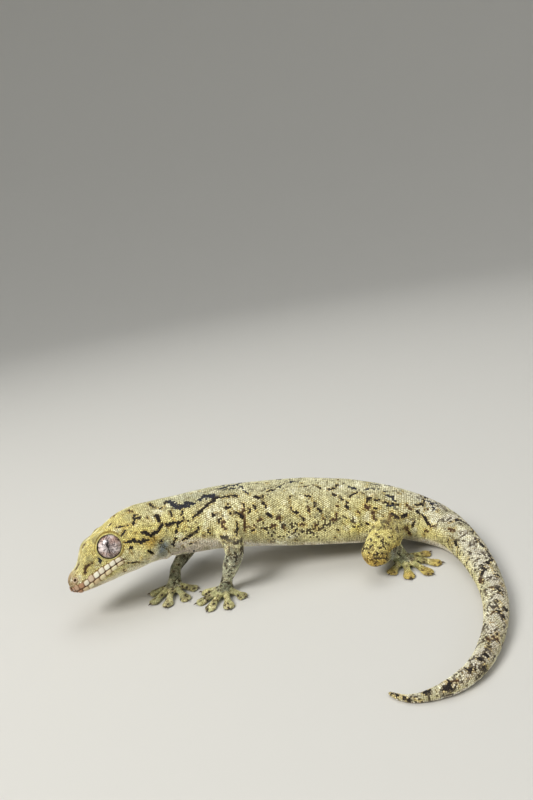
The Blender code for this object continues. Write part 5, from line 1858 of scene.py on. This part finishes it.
def studio_material():
    """Pale matt floor with a faint fine unevenness."""
    material = bpy.data.materials.new("studio floor")
    material.use_nodes = True
    nodes, link = material.node_tree.nodes, material.node_tree.links.new
    surface = nodes["Principled BSDF"]
    place = nodes.new("ShaderNodeTexCoord")
    speck = nodes.new("ShaderNodeTexNoise")
    speck.inputs["Scale"].default_value = 60.0
    link(place.outputs["Object"], speck.inputs["Vector"])
    rough = nodes.new("ShaderNodeMapRange")
    rough.inputs["To Min"].default_value = 0.75
    rough.inputs["To Max"].default_value = 0.95
    link(speck.outputs["Fac"], rough.inputs["Value"])
    link(rough.outputs["Result"], surface.inputs["Roughness"])
    surface.inputs["Base Color"].default_value = (*linear(bpy.context.scene.gecko_studio.floor), 1.0)
    surface.inputs["Specular IOR Level"].default_value = 0.2
    return material


def area_light(name, place, target, size, power, tint):
    """A round soft light at a place, turned towards its target."""
    light = bpy.data.lights.new(name, "AREA")
    light.shape, light.size, light.energy, light.color = "DISK", size, power, tint
    lamp = bpy.data.objects.new(name, light)
    lamp.location = place
    lamp.rotation_euler = (Vector(target) - Vector(place)).to_track_quat("-Z", "Y").to_euler()
    bpy.context.scene.collection.objects.link(lamp)


class GECKO_OT_studio(bpy.types.Operator):
    """The pale floor that curves up all round, soft lights, sky and the camera at the photograph's angle"""
    bl_idname = "gecko.studio"
    bl_label = "Studio"

    def execute(self, context):
        settings = context.scene.gecko_studio
        turn = np.linspace(0, 2 * math.pi, 97)[:-1][None, :]
        bend = np.radians(np.linspace(2, 90, 30))
        away = np.concatenate([np.linspace(0.02, 0.9, 12), 0.9 + 1.1 * np.sin(bend), (2.0, 2.0)])[:, None]
        up = np.concatenate([np.zeros(12), 1.1 * (1 - np.cos(bend)), (1.6, 2.6)])[:, None]
        rings = np.stack([away * np.cos(turn), away * np.sin(turn), up + 0 * turn], axis=-1)
        ring = np.arange(rings.shape[0] * 96).reshape(-1, 96)
        quads = bands(ring[:-1], ring[1:])
        middle = np.full(96, ring.size)
        hub = np.stack([middle, ring[0], np.roll(ring[0], -1)], axis=-1)
        mesh = make_mesh("floor", np.vstack([rings.reshape(-1, 3), (0.0, 0.0, 0.0)]), [quads, hub])
        mesh.materials.append(studio_material())
        floor = bpy.data.objects.new("floor", mesh)
        context.scene.collection.objects.link(floor)
        target = tuple(to_row(np.array((-14.0, -10.0, 8.0))))
        area_light("key", (-0.45, -0.30, 0.62), target, 0.40, settings.key_power, (1.0, 0.99, 0.96))
        area_light("fill", (0.55, -0.55, 0.40), target, 0.60, settings.fill_power, (0.94, 0.97, 1.0))
        area_light("top", (0.05, 0.25, 0.80), target, 0.60, settings.top_power, (1.0, 1.0, 1.0))
        world = bpy.data.worlds.new("studio")
        world.use_nodes = True
        world.node_tree.nodes["Background"].inputs["Color"].default_value = (0.93, 0.96, 1.0, 1.0)
        world.node_tree.nodes["Background"].inputs["Strength"].default_value = settings.sky
        context.scene.world = world
        lens = bpy.data.cameras.new("camera")
        lens.lens, lens.sensor_width, lens.clip_start = settings.lens, 36.0, 0.001
        lens.sensor_fit = "AUTO"
        camera = bpy.data.objects.new("camera", lens)
        turned = Matrix.Rotation(math.pi / 2 - settings.camera_down, 4, "X")
        turned = turned @ Matrix.Rotation(settings.camera_roll, 4, "Z")
        turned.translation = Vector(settings.camera_at) + Vector(SHIFT * MM)
        camera.matrix_world = turned
        context.scene.collection.objects.link(camera)
        context.scene.camera = camera
        context.scene.view_settings.view_transform = "Standard"
        return {"FINISHED"}


class GECKO_PT_panel(bpy.types.Panel):
    """Lists the pieces of the gecko and the sizes and colours that they use"""
    bl_idname = "GECKO_PT_panel"
    bl_label = "Gecko"
    bl_space_type = "VIEW_3D"
    bl_region_type = "UI"
    bl_category = "Gecko"

    def draw(self, context):
        for operator in OPERATORS:
            self.layout.operator(operator.bl_idname)
        for name in SETTINGS:
            group = getattr(context.scene, name)
            box = self.layout.box()
            for key in group.__annotations__:
                box.prop(group, key)


SETTINGS = {
    "gecko_skin": Skin, "gecko_scales": Scales, "gecko_paints": Paints, "gecko_eyes": Eyes,
    "gecko_studio": Studio,
}
OPERATORS = (
    GECKO_OT_skin, GECKO_OT_scales, GECKO_OT_lips, GECKO_OT_openings, GECKO_OT_eyes, GECKO_OT_claws,
    GECKO_OT_studio,
)


def register():
    """Adds the settings, operators and panel."""
    for name, group in SETTINGS.items():
        bpy.utils.register_class(group)
        setattr(bpy.types.Scene, name, bpy.props.PointerProperty(type=group))
    for operator in OPERATORS:
        bpy.utils.register_class(operator)
    bpy.utils.register_class(GECKO_PT_panel)


def unregister():
    """Takes them away again."""
    bpy.utils.unregister_class(GECKO_PT_panel)
    for operator in reversed(OPERATORS):
        bpy.utils.unregister_class(operator)
    for name, group in SETTINGS.items():
        delattr(bpy.types.Scene, name)
        bpy.utils.unregister_class(group)


def main():
    """Builds the whole scene."""
    register()
    for operator in OPERATORS:
        group, name = operator.bl_idname.split(".")
        getattr(getattr(bpy.ops, group), name)()


if __name__ == "__main__":
    main()
